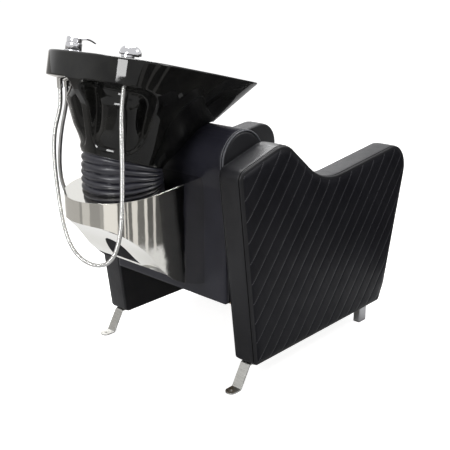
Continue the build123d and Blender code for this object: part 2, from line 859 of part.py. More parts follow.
def egg(half_width, rear, front):
    """Return the points of the right half of an egg outline, from the rear round to the front."""
    points = [(half_width * a, rear * b) for a, b in rim_rear_shares]
    points += [(half_width * a, -front * b) for a, b in rim_front_shares]
    return points + [(0, -front)]


def disc(radius, outline, middle_v):
    """Return points on a circle, each one in the direction of an outline's point."""
    points = []
    for x, v in outline:
        turn = atan2(x, v - middle_v)
        points.append((radius * sin(turn), middle_v + radius * cos(turn)))
    return points


def between(start, end, shares):
    """Return the points a share of the way from each start point to its end point."""
    return [(a[0] + (b[0] - a[0]) * s, a[1] + (b[1] - a[1]) * s) for a, b, s in zip(start, end, shares)]


def ring_of(points):
    """Return the closed smooth face through half an outline and its mirror image."""
    whole = points + [(-x, v) for x, v in points[-2:0:-1]]
    with BuildSketch() as face:
        with BuildLine():
            Spline(*whole, periodic=True)
        make_face()
    return face.sketch


def hull():
    """Return the basin's outer form from the rim down to the ring."""
    rim = egg(rim_half_width, rim_rear, rim_front)
    foot = disc(ring_radius, rim, ring_v)
    collar_end = collar_depth + collar_step
    straight = between(rim, foot, [collar_depth / basin_depth] * len(rim))
    collar = between(straight, rim, collar_shares)
    below = between(rim, foot, [collar_end / basin_depth] * len(rim))
    with BuildPart() as form:
        for points, depth in ((rim, 0), (collar, collar_depth), (below, collar_end)):
            with BuildSketch(rim_plane.offset(-depth)):
                add(ring_of(points))
        with BuildSketch(ring_plane):
            add(ring_of([(x, v - ring_v) for x, v in foot]))
        loft(ruled=True)
    return form.part


def bowl():
    """Return the bowl's inner form, from above the rim down to its floor."""
    mouth = egg(rim_half_width - bowl_lip, rim_rear - deck, rim_front - bowl_lip)
    base = disc(bowl_floor_radius, mouth, ring_v)
    with BuildPart() as form:
        with BuildSketch(rim_plane.offset(overrun)):
            add(ring_of(mouth))
        for level, shares in zip(bowl_level_shares, bowl_shares):
            with BuildSketch(rim_plane.offset(-bowl_depth * level)):
                add(ring_of(between(base, mouth, shares)))
        loft(ruled=True)
    return form.part


def scoop(side):
    """Return the recess of one side of the underside, where a hose hangs."""
    turn = radians(scoop_angle)
    out = Vector(side * sin(turn), cos(turn), 0)
    slope = radians(scoop_slope)
    face_normal = out * cos(slope) + Vector(0, 0, -1) * sin(slope)
    top_point = Vector(0, scoop_axis_y, scoop_top) + out * scoop_floor
    with BuildPart() as form:
        with BuildSketch(Plane(origin=top_point, x_dir=Vector(0, 0, 1).cross(out), z_dir=face_normal)):
            with BuildLine():
                FilletPolyline(
                    (-scoop_half_width, 0), (scoop_half_width, 0),
                    (scoop_foot_half_width, -scoop_height), (-scoop_foot_half_width, -scoop_height),
                    radius=scoop_corner, close=True,
                )
            make_face()
        extrude(amount=scoop_out)
    return form.part


def gland_face():
    """Return the outline of the glands in the basin's underside, one single and one for two hoses."""
    with BuildSketch() as twin:
        with Locations(supply_route[0][:2], supply_twin[:2]):
            Circle(supply_hose_diameter / 2 + gland_wall)
        make_hull()
    with BuildSketch() as outline:
        with Locations(shower_route[-1][:2]):
            Circle(shower_hose_diameter / 2 + gland_wall)
        add(twin.sketch)
    return outline.sketch


supply_twin = (
    supply_route[0][0] + supply_step[0], supply_route[0][1] + supply_step[1], supply_route[0][2],
)


hollow_top = bowl_depth + wall
hollow_rise = basin_depth - hollow_top
slot_end = rim_plane.to_local_coords(Vector(*shower_route[-1]))
with BuildPart() as basin:
    add(hull())
    add(bowl(), mode=Mode.SUBTRACT)
    for side in (-1, 1):
        add(scoop(side), mode=Mode.SUBTRACT)
    with BuildSketch(rim_plane.offset(-hollow_top)):
        with Locations((0, ring_v)):
            Circle(hollow_radius + hollow_flare)
    with BuildSketch(ring_plane.offset(-overrun)):
        Circle(hollow_radius)
    loft(mode=Mode.SUBTRACT)
    with BuildSketch(rim_plane.offset(-wall)):
        with Locations((0, pillar_v)):
            Rectangle(2 * pillar_top_half, pillar_run)
    with BuildSketch(rim_plane.offset(-basin_depth)):
        with Locations((0, ring_v + hollow_radius - pillar_run / 2)):
            Rectangle(2 * pillar_foot_half, pillar_run)
    loft(mode=Mode.SUBTRACT)
    with BuildSketch(on_rim(0, 0, -wall)):
        with Locations((mixer_x, mixer_v)):
            Circle(pocket_radius)
        with Locations((slot_end.X, slot_end.Y)):
            Circle(pocket_radius / 2)
        make_hull()
    extrude(amount=-(pocket_depth - wall), mode=Mode.SUBTRACT)
    with Locations(on_rim(0, ring_v, -bowl_depth)):
        Hole(drain_radius, depth=wall + overrun)
    with Locations(on_rim(mixer_x, mixer_v)):
        Hole(inlet_radius + cup_fit, depth=wall + overrun)
    with Locations(on_rim(-handset_x, handset_v)):
        Hole(socket_radius, depth=socket_run)
    with BuildSketch(Plane.XY.offset(shower_route[-1][2])):
        add(gland_face())
    extrude(amount=gland_run, mode=Mode.SUBTRACT)
    neck_start = rim_plane.from_local_coords(Vector(0, -rim_front - overrun, neck_middle_lift))
    with BuildSketch(Plane(origin=neck_start, x_dir=(1, 0, 0), z_dir=-rim_plane.y_dir)):
        Circle(neck_radius)
    extrude(amount=-(overrun + neck_run), mode=Mode.SUBTRACT)
    with BuildSketch(Plane.YZ.offset(-rim_half_width)):
        with Locations(roll_middle):
            Circle(roll_radius + roll_clearance)
    extrude(amount=2 * rim_half_width, mode=Mode.SUBTRACT)
keep(basin.part, "basin")

with BuildPart() as hose_glands:
    with BuildSketch(Plane.XY.offset(shower_route[-1][2])):
        add(gland_face())
    extrude(amount=gland_run)
keep(hose_glands.part, "hose_glands")

# Tilting plate under the basin, with two lugs for the pivot
with BuildPart() as tilt_plate:
    with BuildSketch(ring_plane):
        Circle(plate_radius)
    extrude(amount=-plate_thickness)
    lug_ends = [
        ring_plane.from_local_coords(Vector(0, side * eye_radius * lug_top_share, -plate_thickness / 2))
        for side in (-1, 1)
    ]
    for lug_x in (-lug_outer, lug_inner):
        with BuildSketch(Plane.YZ.offset(lug_x)):
            with BuildLine():
                Polyline(
                    (pivot_y - eye_radius, pivot_height), (lug_ends[0].Y, lug_ends[0].Z),
                    (lug_ends[1].Y, lug_ends[1].Z), (pivot_y + eye_radius, pivot_height), close=True,
                )
            make_face()
            with Locations((pivot_y, pivot_height)):
                Circle(eye_radius)
                Circle(pin_radius + pin_fit, mode=Mode.SUBTRACT)
        extrude(amount=lug_plate)
    with BuildSketch(ring_plane):
        Circle(waste_opening)
    extrude(amount=-plate_thickness, mode=Mode.SUBTRACT)
keep(tilt_plate.part, "tilt_plate")

# Bellows between the cover's shelf and the basin, with a ring inside each end
bellows_foot = Vector(0, bellows_y, shelf_at(bellows_y))
foot_angle = -atan(shelf_slope_share)


def bellows_plane(share):
    """Return the plane of the bellows' section a share of the way up, leaning with its ends."""
    lean = foot_angle + (ring_angle - foot_angle) * share
    return Plane(
        origin=bellows_foot + (ring_middle - bellows_foot) * share, x_dir=(1, 0, 0),
        z_dir=(0, -sin(lean), cos(lean)),
    )


def bellows_form(inset, reach):
    """Return the bellows' solid form, thinner by inset, with both ends longer by a share reach."""
    levels = [(-reach, bellows_root_radius), (cuff_share, bellows_root_radius)]
    rise = (1 - 2 * cuff_share) / bellows_folds
    for fold in range(bellows_folds):
        levels.append((cuff_share + rise * (fold + 1 / 2), bellows_crest_radius))
        levels.append((cuff_share + rise * (fold + 1), bellows_crest_radius - bellows_groove))
    cuff_radius = plate_radius + clamp_thickness + cuff_ease + bellows_wall
    levels[-1] = (1 - cuff_share, cuff_radius)
    levels.append((1 + reach, cuff_radius))
    with BuildPart() as form:
        for share, radius in levels:
            with BuildSketch(bellows_plane(share)):
                Circle(radius - inset)
        loft(ruled=True)
    return form.part


with BuildPart() as bellows:
    add(bellows_form(0, 0))
    add(bellows_form(bellows_wall, cuff_share), mode=Mode.SUBTRACT)
keep(bellows.part, "bellows")

with BuildPart() as bellows_lower_ring:
    with BuildSketch(bellows_plane(0)):
        Circle(bellows_root_radius - bellows_wall - ring_ease)
        Circle(shelf_hole_radius, mode=Mode.SUBTRACT)
    extrude(amount=clamp_height)
keep(bellows_lower_ring.part, "bellows_lower_ring")

with BuildPart() as bellows_upper_ring:
    with BuildSketch(ring_plane):
        Circle(plate_radius + clamp_thickness)
        Circle(plate_radius, mode=Mode.SUBTRACT)
    extrude(amount=-clamp_height)
keep(bellows_upper_ring.part, "bellows_upper_ring")

# Waste: a strainer through the bowl's floor, its nut, a tail pipe, a hose and a fixed union
with BuildPart() as strainer:
    with BuildSketch(on_rim(0, ring_v, -bowl_depth)):
        Circle(strainer_radius)
        Circle(strainer_hole, mode=Mode.SUBTRACT)
        with PolarLocations(strainer_ring, strainer_hole_count):
            Circle(strainer_hole, mode=Mode.SUBTRACT)
    extrude(amount=strainer_flange)
    with BuildSketch(on_rim(0, ring_v, -bowl_depth)):
        Circle(strainer_tube_radius)
        Circle(strainer_tube_radius - strainer_tube_wall, mode=Mode.SUBTRACT)
    extrude(amount=-strainer_below)
keep(strainer.part, "strainer")

with BuildPart() as waste_nut:
    with BuildSketch(on_rim(0, ring_v, -bowl_depth - wall)):
        RegularPolygon(waste_nut_radius, 6)
        Circle(strainer_tube_radius, mode=Mode.SUBTRACT)
    extrude(amount=-waste_nut_height)
keep(waste_nut.part, "waste_nut")

tail_top = -bowl_depth - strainer_below
with BuildPart() as tail_pipe:
    with BuildSketch(on_rim(0, ring_v, tail_top)):
        Circle(strainer_tube_radius)
    extrude(amount=-tail_flange)
    with BuildSketch(on_rim(0, ring_v, tail_top - tail_flange)):
        Circle(tail_radius)
    extrude(amount=-tail_length)
    with BuildSketch(on_rim(0, ring_v, tail_top)):
        Circle(tail_radius - tail_wall)
    extrude(amount=-(tail_flange + tail_length), mode=Mode.SUBTRACT)
keep(tail_pipe.part, "tail_pipe")

with BuildPart() as drain_union:
    with BuildSketch(Plane.XZ.offset(-tube_end)):
        with Locations((0, tube_middle)):
            Rectangle(tube_width, tube_height)
    extrude(amount=-tube_wall)
    with BuildSketch(Plane.XY.offset(union_height)):
        with Locations((0, (tube_end + union_y) / 2)):
            Rectangle(2 * tail_radius, union_y - tube_end)
    extrude(amount=tube_middle + tube_height / 2 - union_height)
    with BuildSketch(Plane.XY.offset(union_height)):
        with Locations((0, union_y)):
            Circle(tail_radius + tail_wall)
    extrude(amount=union_rise)
    with BuildSketch(Plane.XY.offset(union_height)):
        with Locations((0, union_y)):
            Circle(tail_radius - tail_wall)
    extrude(amount=union_rise, mode=Mode.SUBTRACT)
keep(drain_union.part, "drain_union")


def route_line(points, name):
    """Return a hose's path of straight runs and wide arcs, and print its length and least radius."""
    steps = [Vector(*b) - Vector(*a) for a, b in zip(points, points[1:])]
    radii = []
    for before, after in zip(steps, steps[1:]):
        turn = radians(before.get_angle(after))
        radii.append(bend_share * min(before.length, after.length) / tan(turn / 2))
    with BuildLine() as path:
        FilletPolyline(*points, radius=radii)
    line = path.wire()
    print(name, "length", round(line.length), "radii", [round(r) for r in radii])
    return line


def make_hose(points, diameter, name):
    """Keep a hose along its control points and compare its volume with its section."""
    line = route_line(points, name)
    with BuildPart() as hose:
        with BuildSketch(Plane(origin=points[0], z_dir=line % 0)):
            Circle(diameter / 2)
        sweep(path=line)
    print(name, "volume share", round(hose.part.volume / (pi * diameter**2 / 4 * line.length), 4))
    keep(hose.part, name)


tail_end = on_rim(0, ring_v, tail_top - tail_flange - tail_length)
drain_start = tail_end.origin
drain_second = tail_end.offset(-drain_straight).origin
drain_route = [
    (0, drain_start.Y, drain_start.Z), (0, drain_second.Y, drain_second.Z),
    *drain_bends, (0, union_y, union_height + union_rise),
]
make_hose(drain_route, 2 * tail_radius, "drain_hose")

# Mixer tap on the deck: base, cup, cartridge and a domed cap with a lever
with BuildPart() as mixer_base:
    with BuildSketch(on_rim(mixer_x, mixer_v)):
        Circle(mixer_base_radius)
    extrude(amount=mixer_base_height)
keep(mixer_base.part, "mixer_base")

mixer_top = mixer_base_height + mixer_body_height
with BuildPart() as mixer_body:
    with BuildSketch(on_rim(mixer_x, mixer_v, mixer_base_height)):
        Circle(mixer_radius)
    extrude(amount=mixer_body_height)
    with BuildSketch(on_rim(mixer_x, mixer_v, mixer_top - cup_depth)):
        Circle(cap_radius + cup_fit)
    extrude(amount=cup_depth, mode=Mode.SUBTRACT)
keep(mixer_body.part, "mixer_body")

cap_plane = on_rim(mixer_x, mixer_v, cap_lift)
side_plane = Plane(origin=cap_plane.origin, x_dir=cap_plane.y_dir, z_dir=(1, 0, 0))
neck_reach = ((cap_radius - cap_wall - cup_fit) ** 2 - (cartridge_radius / 2) ** 2) ** 0.5
with BuildPart() as mixer_cartridge:
    with BuildSketch(on_rim(mixer_x, mixer_v, mixer_top - cup_depth)):
        Circle(cartridge_radius)
    extrude(amount=cartridge_rise)
    with BuildSketch(on_rim(mixer_x, mixer_v, mixer_top - cup_depth)):
        Circle(cartridge_radius / 2)
    extrude(amount=cup_depth - mixer_top + cap_lift + neck_reach)
    with BuildSketch(side_plane):
        Circle(lever_pin_radius)
    extrude(amount=cap_radius - cap_wall - 2 * cup_fit, both=True)
keep(mixer_cartridge.part, "mixer_cartridge")

marker_plane = Plane(origin=cap_plane.origin, z_dir=cap_plane.z_dir * marker_up_share + cap_plane.y_dir * -1)
with BuildPart() as mixer_lever:
    with BuildSketch(side_plane):
        with BuildLine() as lever_line:
            ThreePointArc(
                (-lever_start, lever_rise), (-lever_start - lever_length / 2, lever_rise + lever_arch),
                (-lever_start - lever_length, lever_rise),
            )
        trace(lever_line.line, line_width=lever_thickness)
    extrude(amount=lever_width / 2, both=True)
    with BuildSketch(side_plane):
        with BuildLine():
            Line((0, 0), (cap_radius, 0))
            CenterArc((0, 0), cap_radius, 0, 90)
            Line((0, cap_radius), (0, 0))
        make_face()
    revolve(axis=Axis(cap_plane.origin, cap_plane.z_dir))
    with BuildSketch(side_plane):
        with BuildLine():
            Line((0, 0), (cap_radius - cap_wall, 0))
            CenterArc((0, 0), cap_radius - cap_wall, 0, 90)
            Line((0, cap_radius - cap_wall), (0, 0))
        make_face()
    revolve(axis=Axis(cap_plane.origin, cap_plane.z_dir), mode=Mode.SUBTRACT)
    with BuildSketch(marker_plane.offset(cap_radius - marker_depth)):
        Circle(marker_radius)
    extrude(amount=2 * marker_depth, mode=Mode.SUBTRACT)
keep(mixer_lever.part, "mixer_lever")

with BuildPart() as mixer_marker:
    with BuildSketch(marker_plane.offset(cap_radius - marker_depth)):
        Circle(marker_radius)
    extrude(amount=marker_depth)
keep(mixer_marker.part, "mixer_marker")

with BuildPart() as mixer_shank:
    with BuildSketch(on_rim(mixer_x, mixer_v)):
        Circle(inlet_radius)
    extrude(amount=-inlet_length)
keep(mixer_shank.part, "mixer_shank")

with BuildPart() as mixer_nut:
    with BuildSketch(on_rim(mixer_x, mixer_v, -wall)):
        RegularPolygon(inlet_nut_radius, 6)
        Circle(inlet_radius, mode=Mode.SUBTRACT)
    extrude(amount=-inlet_nut)
keep(mixer_nut.part, "mixer_nut")

# Pull-out handset in its holder, with the nut of its hose
with BuildPart() as handset_holder:
    with BuildSketch(on_rim(-handset_x, handset_v)):
        Circle(holder_radius)
    extrude(amount=holder_rise)
    with BuildSketch(on_rim(-handset_x, handset_v)):
        Circle(socket_radius)
    extrude(amount=-holder_depth)
    with Locations(on_rim(-handset_x, handset_v, holder_rise)):
        Hole(holder_bore, depth=holder_rise + holder_depth)
keep(handset_holder.part, "handset_holder")

dome_radius = (head_radius**2 + head_rise**2) / (2 * head_rise)
dome_middle = (atan2(dome_radius - head_rise, head_radius) + pi / 2) / 2
head_plane = on_rim(-handset_x, handset_v - head_forward, head_lift)
with BuildPart() as handset_body:
    with BuildSketch(on_rim(-handset_x, handset_v, -stem_below)):
        Circle(stem_radius)
    extrude(amount=stem_below + head_lift)
    with BuildSketch(on_rim(-handset_x, handset_v, holder_rise)):
        Circle(stem_collar)
    extrude(amount=head_lift - holder_rise)
    with BuildSketch(Plane(origin=head_plane.origin, x_dir=head_plane.y_dir, z_dir=(1, 0, 0))):
        with BuildLine():
            Line((0, 0), (head_radius, 0))
            ThreePointArc(
                (head_radius, 0),
                (dome_radius * cos(dome_middle), dome_radius * sin(dome_middle) - dome_radius + head_rise),
                (0, head_rise),
            )
            Line((0, head_rise), (0, 0))
        make_face()
    revolve(axis=Axis(head_plane.origin, head_plane.z_dir))
keep(handset_body.part, "handset_body")

with BuildPart() as handset_face:
    with BuildSketch(on_rim(-handset_x, handset_v - holder_radius - face_radius - soft_gap, head_lift)):
        Circle(face_radius)
    extrude(amount=-face_thickness)
keep(handset_face.part, "handset_face")

with BuildPart() as hose_nut:
    with BuildSketch(on_rim(-handset_x, handset_v, -stem_below)):
        RegularPolygon(hose_nut_radius, 6)
    extrude(amount=-hose_nut_height)
keep(hose_nut.part, "hose_nut")

# Hoses: the shower hose, and the two supply hoses with the block that they end at
make_hose(shower_route, shower_hose_diameter, "shower_hose")
twin_route = [(x + supply_step[0], y + supply_step[1], z) for x, y, z in supply_route]
make_hose(supply_route, supply_hose_diameter, "supply_hose_cold")
make_hose(twin_route, supply_hose_diameter, "supply_hose_hot")

block_front = -back_face + fitting_block_run
block_x = (supply_route[-1][0] + twin_route[-1][0]) / 2
with BuildPart() as supply_block:
    with BuildSketch(Plane.XZ.offset(back_face)):
        with Locations((block_x, supply_route[-1][2])):
            Rectangle(fitting_block_width, fitting_block_rise)
    extrude(amount=-fitting_block_run)
    for end in (supply_route[-1], twin_route[-1]):
        with BuildSketch(Plane(origin=(end[0], block_front, end[2]), z_dir=(0, 1, 0))):
            Circle(supply_step[0] / 2)
        extrude(amount=end[1] - block_front)
    with BuildSketch(Plane.XY.offset(supply_route[-1][2] - fitting_block_rise / 2)):
        with Locations(*[
            (block_x + side * inlet_spacing / 2, block_front - fitting_block_run / 2) for side in (-1, 1)
        ]):
            Circle(inlet_thread_radius)
    extrude(amount=inlet_depth, mode=Mode.SUBTRACT)
keep(supply_block.part, "supply_block")
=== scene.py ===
from math import atan2, cos, pi, radians, sin

import bmesh
import bpy
import numpy as np
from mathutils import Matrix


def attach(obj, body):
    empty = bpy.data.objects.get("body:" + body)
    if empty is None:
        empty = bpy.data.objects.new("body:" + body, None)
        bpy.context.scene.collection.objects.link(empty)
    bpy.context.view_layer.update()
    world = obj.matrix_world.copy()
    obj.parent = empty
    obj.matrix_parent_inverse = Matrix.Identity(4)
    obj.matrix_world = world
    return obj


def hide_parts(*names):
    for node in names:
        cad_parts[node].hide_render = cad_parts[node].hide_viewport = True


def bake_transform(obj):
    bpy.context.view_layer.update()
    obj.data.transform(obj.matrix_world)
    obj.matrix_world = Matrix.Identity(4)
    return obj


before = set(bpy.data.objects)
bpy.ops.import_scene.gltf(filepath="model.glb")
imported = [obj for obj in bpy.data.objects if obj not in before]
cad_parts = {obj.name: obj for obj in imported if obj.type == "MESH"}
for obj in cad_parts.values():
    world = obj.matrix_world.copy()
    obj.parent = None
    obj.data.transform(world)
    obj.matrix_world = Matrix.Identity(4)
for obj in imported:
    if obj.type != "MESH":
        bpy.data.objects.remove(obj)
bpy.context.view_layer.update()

# Looks of a salon wash chair with a glazed tilting basin.  Lengths are in metres.
# +Z is up, the sitter faces -Y, the basin is at +Y and the sitter's right hand is at -X.

# The basin's rim lies in a tilted plane: v runs up it towards the rear, lift stands square on it
RIM_HEIGHT = 0.959
RIM_TILT = radians(12.8)
RIM_ACROSS = np.array([1.0, 0.0, 0.0])
RIM_UP = np.array([0.0, cos(RIM_TILT), sin(RIM_TILT)])
RIM_NORMAL = np.array([0.0, -sin(RIM_TILT), cos(RIM_TILT)])


def on_rim(x, v, lift):
    """Point (0, 0, rim height) + x * across + v * up the rim + lift * its normal."""
    return np.array([0, 0, RIM_HEIGHT]) + x * RIM_ACROSS + v * RIM_UP + lift * RIM_NORMAL


# Camera of the photograph: millimetres for the lens, degrees for the two angles
LENS, SENSOR_WIDTH = 63.42, 36
CAMERA_PLACE = (-1.736, 1.592, 1.239)
LOOK_DOWN, LOOK_ROUND = 18.14, 222.58


def place_camera():
    """Stand the camera behind the chair's right side, looking down on it."""
    lens = bpy.data.cameras.new("camera")
    lens.lens = LENS
    lens.sensor_width = SENSOR_WIDTH
    camera = bpy.data.objects.new("camera", lens)
    bpy.context.scene.collection.objects.link(camera)
    camera.location = CAMERA_PLACE
    camera.rotation_euler = (radians(90 - LOOK_DOWN), 0, radians(LOOK_ROUND))
    bpy.context.scene.camera = camera


place_camera()


# Finishes
class Finish:
    """One material with short calls for the nodes that draw its pattern."""

    def __init__(self, name, colour, roughness, metallic=0.0, specular=0.5):
        self.material = bpy.data.materials.new(name)
        self.material.use_nodes = True
        self.nodes = self.material.node_tree.nodes
        self.links = self.material.node_tree.links
        self.shader = self.nodes["Principled BSDF"]
        self.shader.inputs["Base Color"].default_value = (*colour, 1)
        self.shader.inputs["Roughness"].default_value = roughness
        self.shader.inputs["Metallic"].default_value = metallic
        self.shader.inputs["Specular IOR Level"].default_value = specular

    def put(self, socket, value):
        """Set a socket to a number or colour, or link another node's output to it."""
        if isinstance(value, bpy.types.NodeSocket):
            self.links.new(value, socket)
        else:
            socket.default_value = value

    def place(self, scale=(1, 1, 1), uv=False):
        """Object coordinates in metres, or the piece's own UV, stretched by scale."""
        source = self.nodes.new("ShaderNodeTexCoord").outputs["UV" if uv else "Object"]
        mapping = self.nodes.new("ShaderNodeMapping")
        self.links.new(source, mapping.inputs["Vector"])
        mapping.inputs["Scale"].default_value = scale
        return mapping.outputs["Vector"]

    def noise(self, vector, scale, detail, roughness=0.5):
        """Cloudy value from 0 to 1 with the given number of clouds to the metre."""
        node = self.nodes.new("ShaderNodeTexNoise")
        self.links.new(vector, node.inputs["Vector"])
        node.inputs["Scale"].default_value = scale
        node.inputs["Detail"].default_value = detail
        node.inputs["Roughness"].default_value = roughness
        return node.outputs["Fac"]

    def pebbles(self, vector, scale):
        """Distance to the middle of the nearest pebble of a leather grain."""
        node = self.nodes.new("ShaderNodeTexVoronoi")
        self.links.new(vector, node.inputs["Vector"])
        node.inputs["Scale"].default_value = scale
        return node.outputs["Distance"]

    def dot(self, vector, direction):
        """Length of the position along one direction."""
        node = self.nodes.new("ShaderNodeVectorMath")
        node.operation = "DOT_PRODUCT"
        self.links.new(vector, node.inputs[0])
        node.inputs[1].default_value = direction
        return node.outputs["Value"]

    def sum(self, operation, first, second):
        """One step of arithmetic on two values."""
        node = self.nodes.new("ShaderNodeMath")
        node.operation = operation
        self.put(node.inputs[0], first)
        self.put(node.inputs[1], second)
        return node.outputs["Value"]

    def spread(self, value, low, high, to_low=0.0, to_high=1.0, soft=False):
        """Value carried from low..high to to_low..to_high, held at both ends."""
        node = self.nodes.new("ShaderNodeMapRange")
        node.interpolation_type = "SMOOTHSTEP" if soft else "LINEAR"
        self.links.new(value, node.inputs["Value"])
        for label, number in (
            ("From Min", low), ("From Max", high), ("To Min", to_low), ("To Max", to_high),
        ):
            node.inputs[label].default_value = number
        return node.outputs["Result"]

    def tint(self, share, first, second):
        """Colour between first and second, and given to the shader."""
        node = self.nodes.new("ShaderNodeMix")
        node.data_type = "RGBA"
        self.put(node.inputs["Factor"], share)
        self.put(node.inputs["A"], (*first, 1) if isinstance(first, tuple) else first)
        self.put(node.inputs["B"], (*second, 1) if isinstance(second, tuple) else second)
        self.links.new(node.outputs["Result"], self.shader.inputs["Base Color"])
        return node.outputs["Result"]

    def rough(self, value):
        """Roughness from a value."""
        self.links.new(value, self.shader.inputs["Roughness"])

    def bump(self, height, depth, strength, below=None):
        """Small relief of the given depth in metres, on top of the one below it."""
        node = self.nodes.new("ShaderNodeBump")
        self.links.new(height, node.inputs["Height"])
        node.inputs["Distance"].default_value = depth
        node.inputs["Strength"].default_value = strength
        if below is not None:
            self.links.new(below, node.inputs["Normal"])
        self.links.new(node.outputs["Normal"], self.shader.inputs["Normal"])
        return node.outputs["Normal"]


GRAIN_SCALE, GRAIN_DEPTH, GRAIN_STRENGTH = 900, 0.00022, 0.35


def leather(name, dark, light, rough_low, rough_high):
    """Coated leather: pebble grain, faint creases, and a shine that varies from place to place."""
    finish = Finish(name, dark, rough_low, specular=0.25)
    spot = finish.place()
    clouds = finish.noise(spot, 9, 4)
    finish.tint(finish.spread(clouds, 0.35, 0.7), dark, light)
    finish.rough(finish.spread(finish.noise(spot, 25, 3), 0.3, 0.7, rough_low, rough_high))
    grain = finish.bump(finish.pebbles(spot, GRAIN_SCALE), GRAIN_DEPTH, GRAIN_STRENGTH)
    finish.bump(finish.noise(spot, 38, 3), 0.0016, 0.25, grain)
    return finish


# Quilt: two families of sewn lines, the main one distinct and the one that crosses it faint
QUILT_PITCH = 0.047
QUILT_ANGLE = radians(52)
MAIN_SHIFT, CROSS_SHIFT = 0.042, 0.012
STITCH_PITCH = 0.0052
MAIN_ACROSS = (0.0, sin(QUILT_ANGLE), cos(QUILT_ANGLE))
MAIN_ALONG = (0.0, -cos(QUILT_ANGLE), sin(QUILT_ANGLE))
CROSS_ACROSS = (0.0, -sin(QUILT_ANGLE), cos(QUILT_ANGLE))
CROSS_ALONG = (0.0, cos(QUILT_ANGLE), sin(QUILT_ANGLE))


def quilted_leather():
    """Leather of the arms' outer faces: slanting sewn lines, and fainter ones that cross them."""
    # The colour here is darker than the band's black leather: painted shade on the arms' outer faces
    finish = Finish("quilted_leather", (0.007, 0.007, 0.010), 0.42, specular=0.14)
    spot = finish.place()
    cloud = finish.spread(finish.noise(spot, 9, 4), 0.35, 0.7)
    base = finish.tint(cloud, (0.0055, 0.0055, 0.0080), (0.0090, 0.0090, 0.0120))
    finish.rough(finish.spread(finish.noise(spot, 25, 3), 0.3, 0.7, 0.36, 0.48))
    grain = finish.bump(finish.pebbles(spot, GRAIN_SCALE), GRAIN_DEPTH, GRAIN_STRENGTH)
    for across, along, shift, thread, depth in (
        (MAIN_ACROSS, MAIN_ALONG, MAIN_SHIFT, (0.075, 0.075, 0.082), 0.0007),
        (CROSS_ACROSS, CROSS_ALONG, CROSS_SHIFT, (0.010, 0.010, 0.013), 0.0001),
    ):
        away = finish.sum("SUBTRACT", finish.dot(spot, across), shift)
        away = finish.sum("PINGPONG", away, QUILT_PITCH / 2)
        stitch = finish.sum("PINGPONG", finish.dot(spot, along), STITCH_PITCH / 2)
        on_line = finish.spread(away, 0.0011, 0.0016, 1.0, 0.0)
        sewn = finish.sum("MULTIPLY", on_line, finish.spread(stitch, 0.0006, 0.0010))
        base = finish.tint(sewn, base, thread)
        groove = finish.spread(away, 0.0, 0.0045, 0.0, 1.0, soft=True)
        grain = finish.bump(groove, depth, 1.0, grain)
    return finish


def polished(name, colour, low, high, wave):
    """Polished metal: slow waves in the sheet and fine smears in its shine."""
    finish = Finish(name, colour, low, 1.0)
    spot = finish.place()
    finish.rough(finish.spread(finish.noise(spot, 60, 4), 0.35, 0.75, low, high))
    finish.bump(finish.noise(spot, 14, 2), wave, 0.5)
    return finish


def brushed(name, colour, rough, along):
    """Brushed metal: fine lines along one direction."""
    finish = Finish(name, colour, rough, 1.0)
    spot = finish.place(along)
    lines = finish.noise(spot, 1, 4, 0.6)
    finish.rough(finish.spread(lines, 0.3, 0.7, rough - 0.06, rough + 0.1))
    finish.tint(finish.spread(lines, 0.3, 0.75), tuple(c * 0.86 for c in colour), colour)
    finish.bump(lines, 0.00006, 0.5)
    return finish


def moulded(name, dark, light, rough, scale=500):
    """Moulded plastic or rubber: a fine even texture with slight mottling."""
    finish = Finish(name, dark, rough)
    spot = finish.place()
    finish.tint(finish.spread(finish.noise(spot, 40, 3), 0.35, 0.7), dark, light)
    finish.rough(finish.spread(finish.noise(spot, 90, 2), 0.3, 0.7, rough - 0.05, rough + 0.07))
    finish.bump(finish.noise(spot, scale, 2), 0.00012, 0.4)
    return finish


def glazed():
    """Black glaze: near black with cloudy depth, a wet shine and the slow waves of fired clay."""
    finish = Finish("black_glaze", (0.005, 0.005, 0.005), 0.04, specular=0.24)
    spot = finish.place()
    cloud = finish.spread(finish.noise(spot, 18, 4), 0.4, 0.7)
    finish.tint(cloud, (0.004, 0.004, 0.004), (0.010, 0.010, 0.009))
    finish.rough(finish.spread(finish.noise(spot, 55, 3), 0.35, 0.7, 0.02, 0.05))
    finish.bump(finish.noise(spot, 22, 2), 0.0008, 0.25)
    return finish


def wooden():
    """Plywood of the hidden frame: long grain with darker streaks."""
    finish = Finish("frame_wood", (0.5, 0.36, 0.21), 0.6)
    grain = finish.noise(finish.place((9, 60, 90)), 1, 5)
    finish.tint(finish.spread(grain, 0.3, 0.7), (0.36, 0.24, 0.13), (0.58, 0.43, 0.26))
    finish.bump(grain, 0.0003, 0.4)
    return finish


def braided():
    """Steel braid: two sets of strands that wind round the hose in opposite ways."""
    finish = Finish("steel_braid", (0.62, 0.62, 0.62), 0.3, 1.0)
    spot = finish.place(uv=True)
    weave = []
    for turn in (1.0, -1.0):
        wound = finish.dot(spot, (180.0, 4.0 * turn, 0.0))
        weave.append(finish.sum("PINGPONG", wound, 0.5))
    height = finish.sum("MAXIMUM", weave[0], weave[1])
    # Darker where the strands dip between each other: painted shade between the strands
    finish.tint(finish.spread(height, 0.15, 0.45), (0.20, 0.20, 0.20), (0.66, 0.66, 0.66))
    finish.bump(height, 0.0004, 0.8)
    return finish


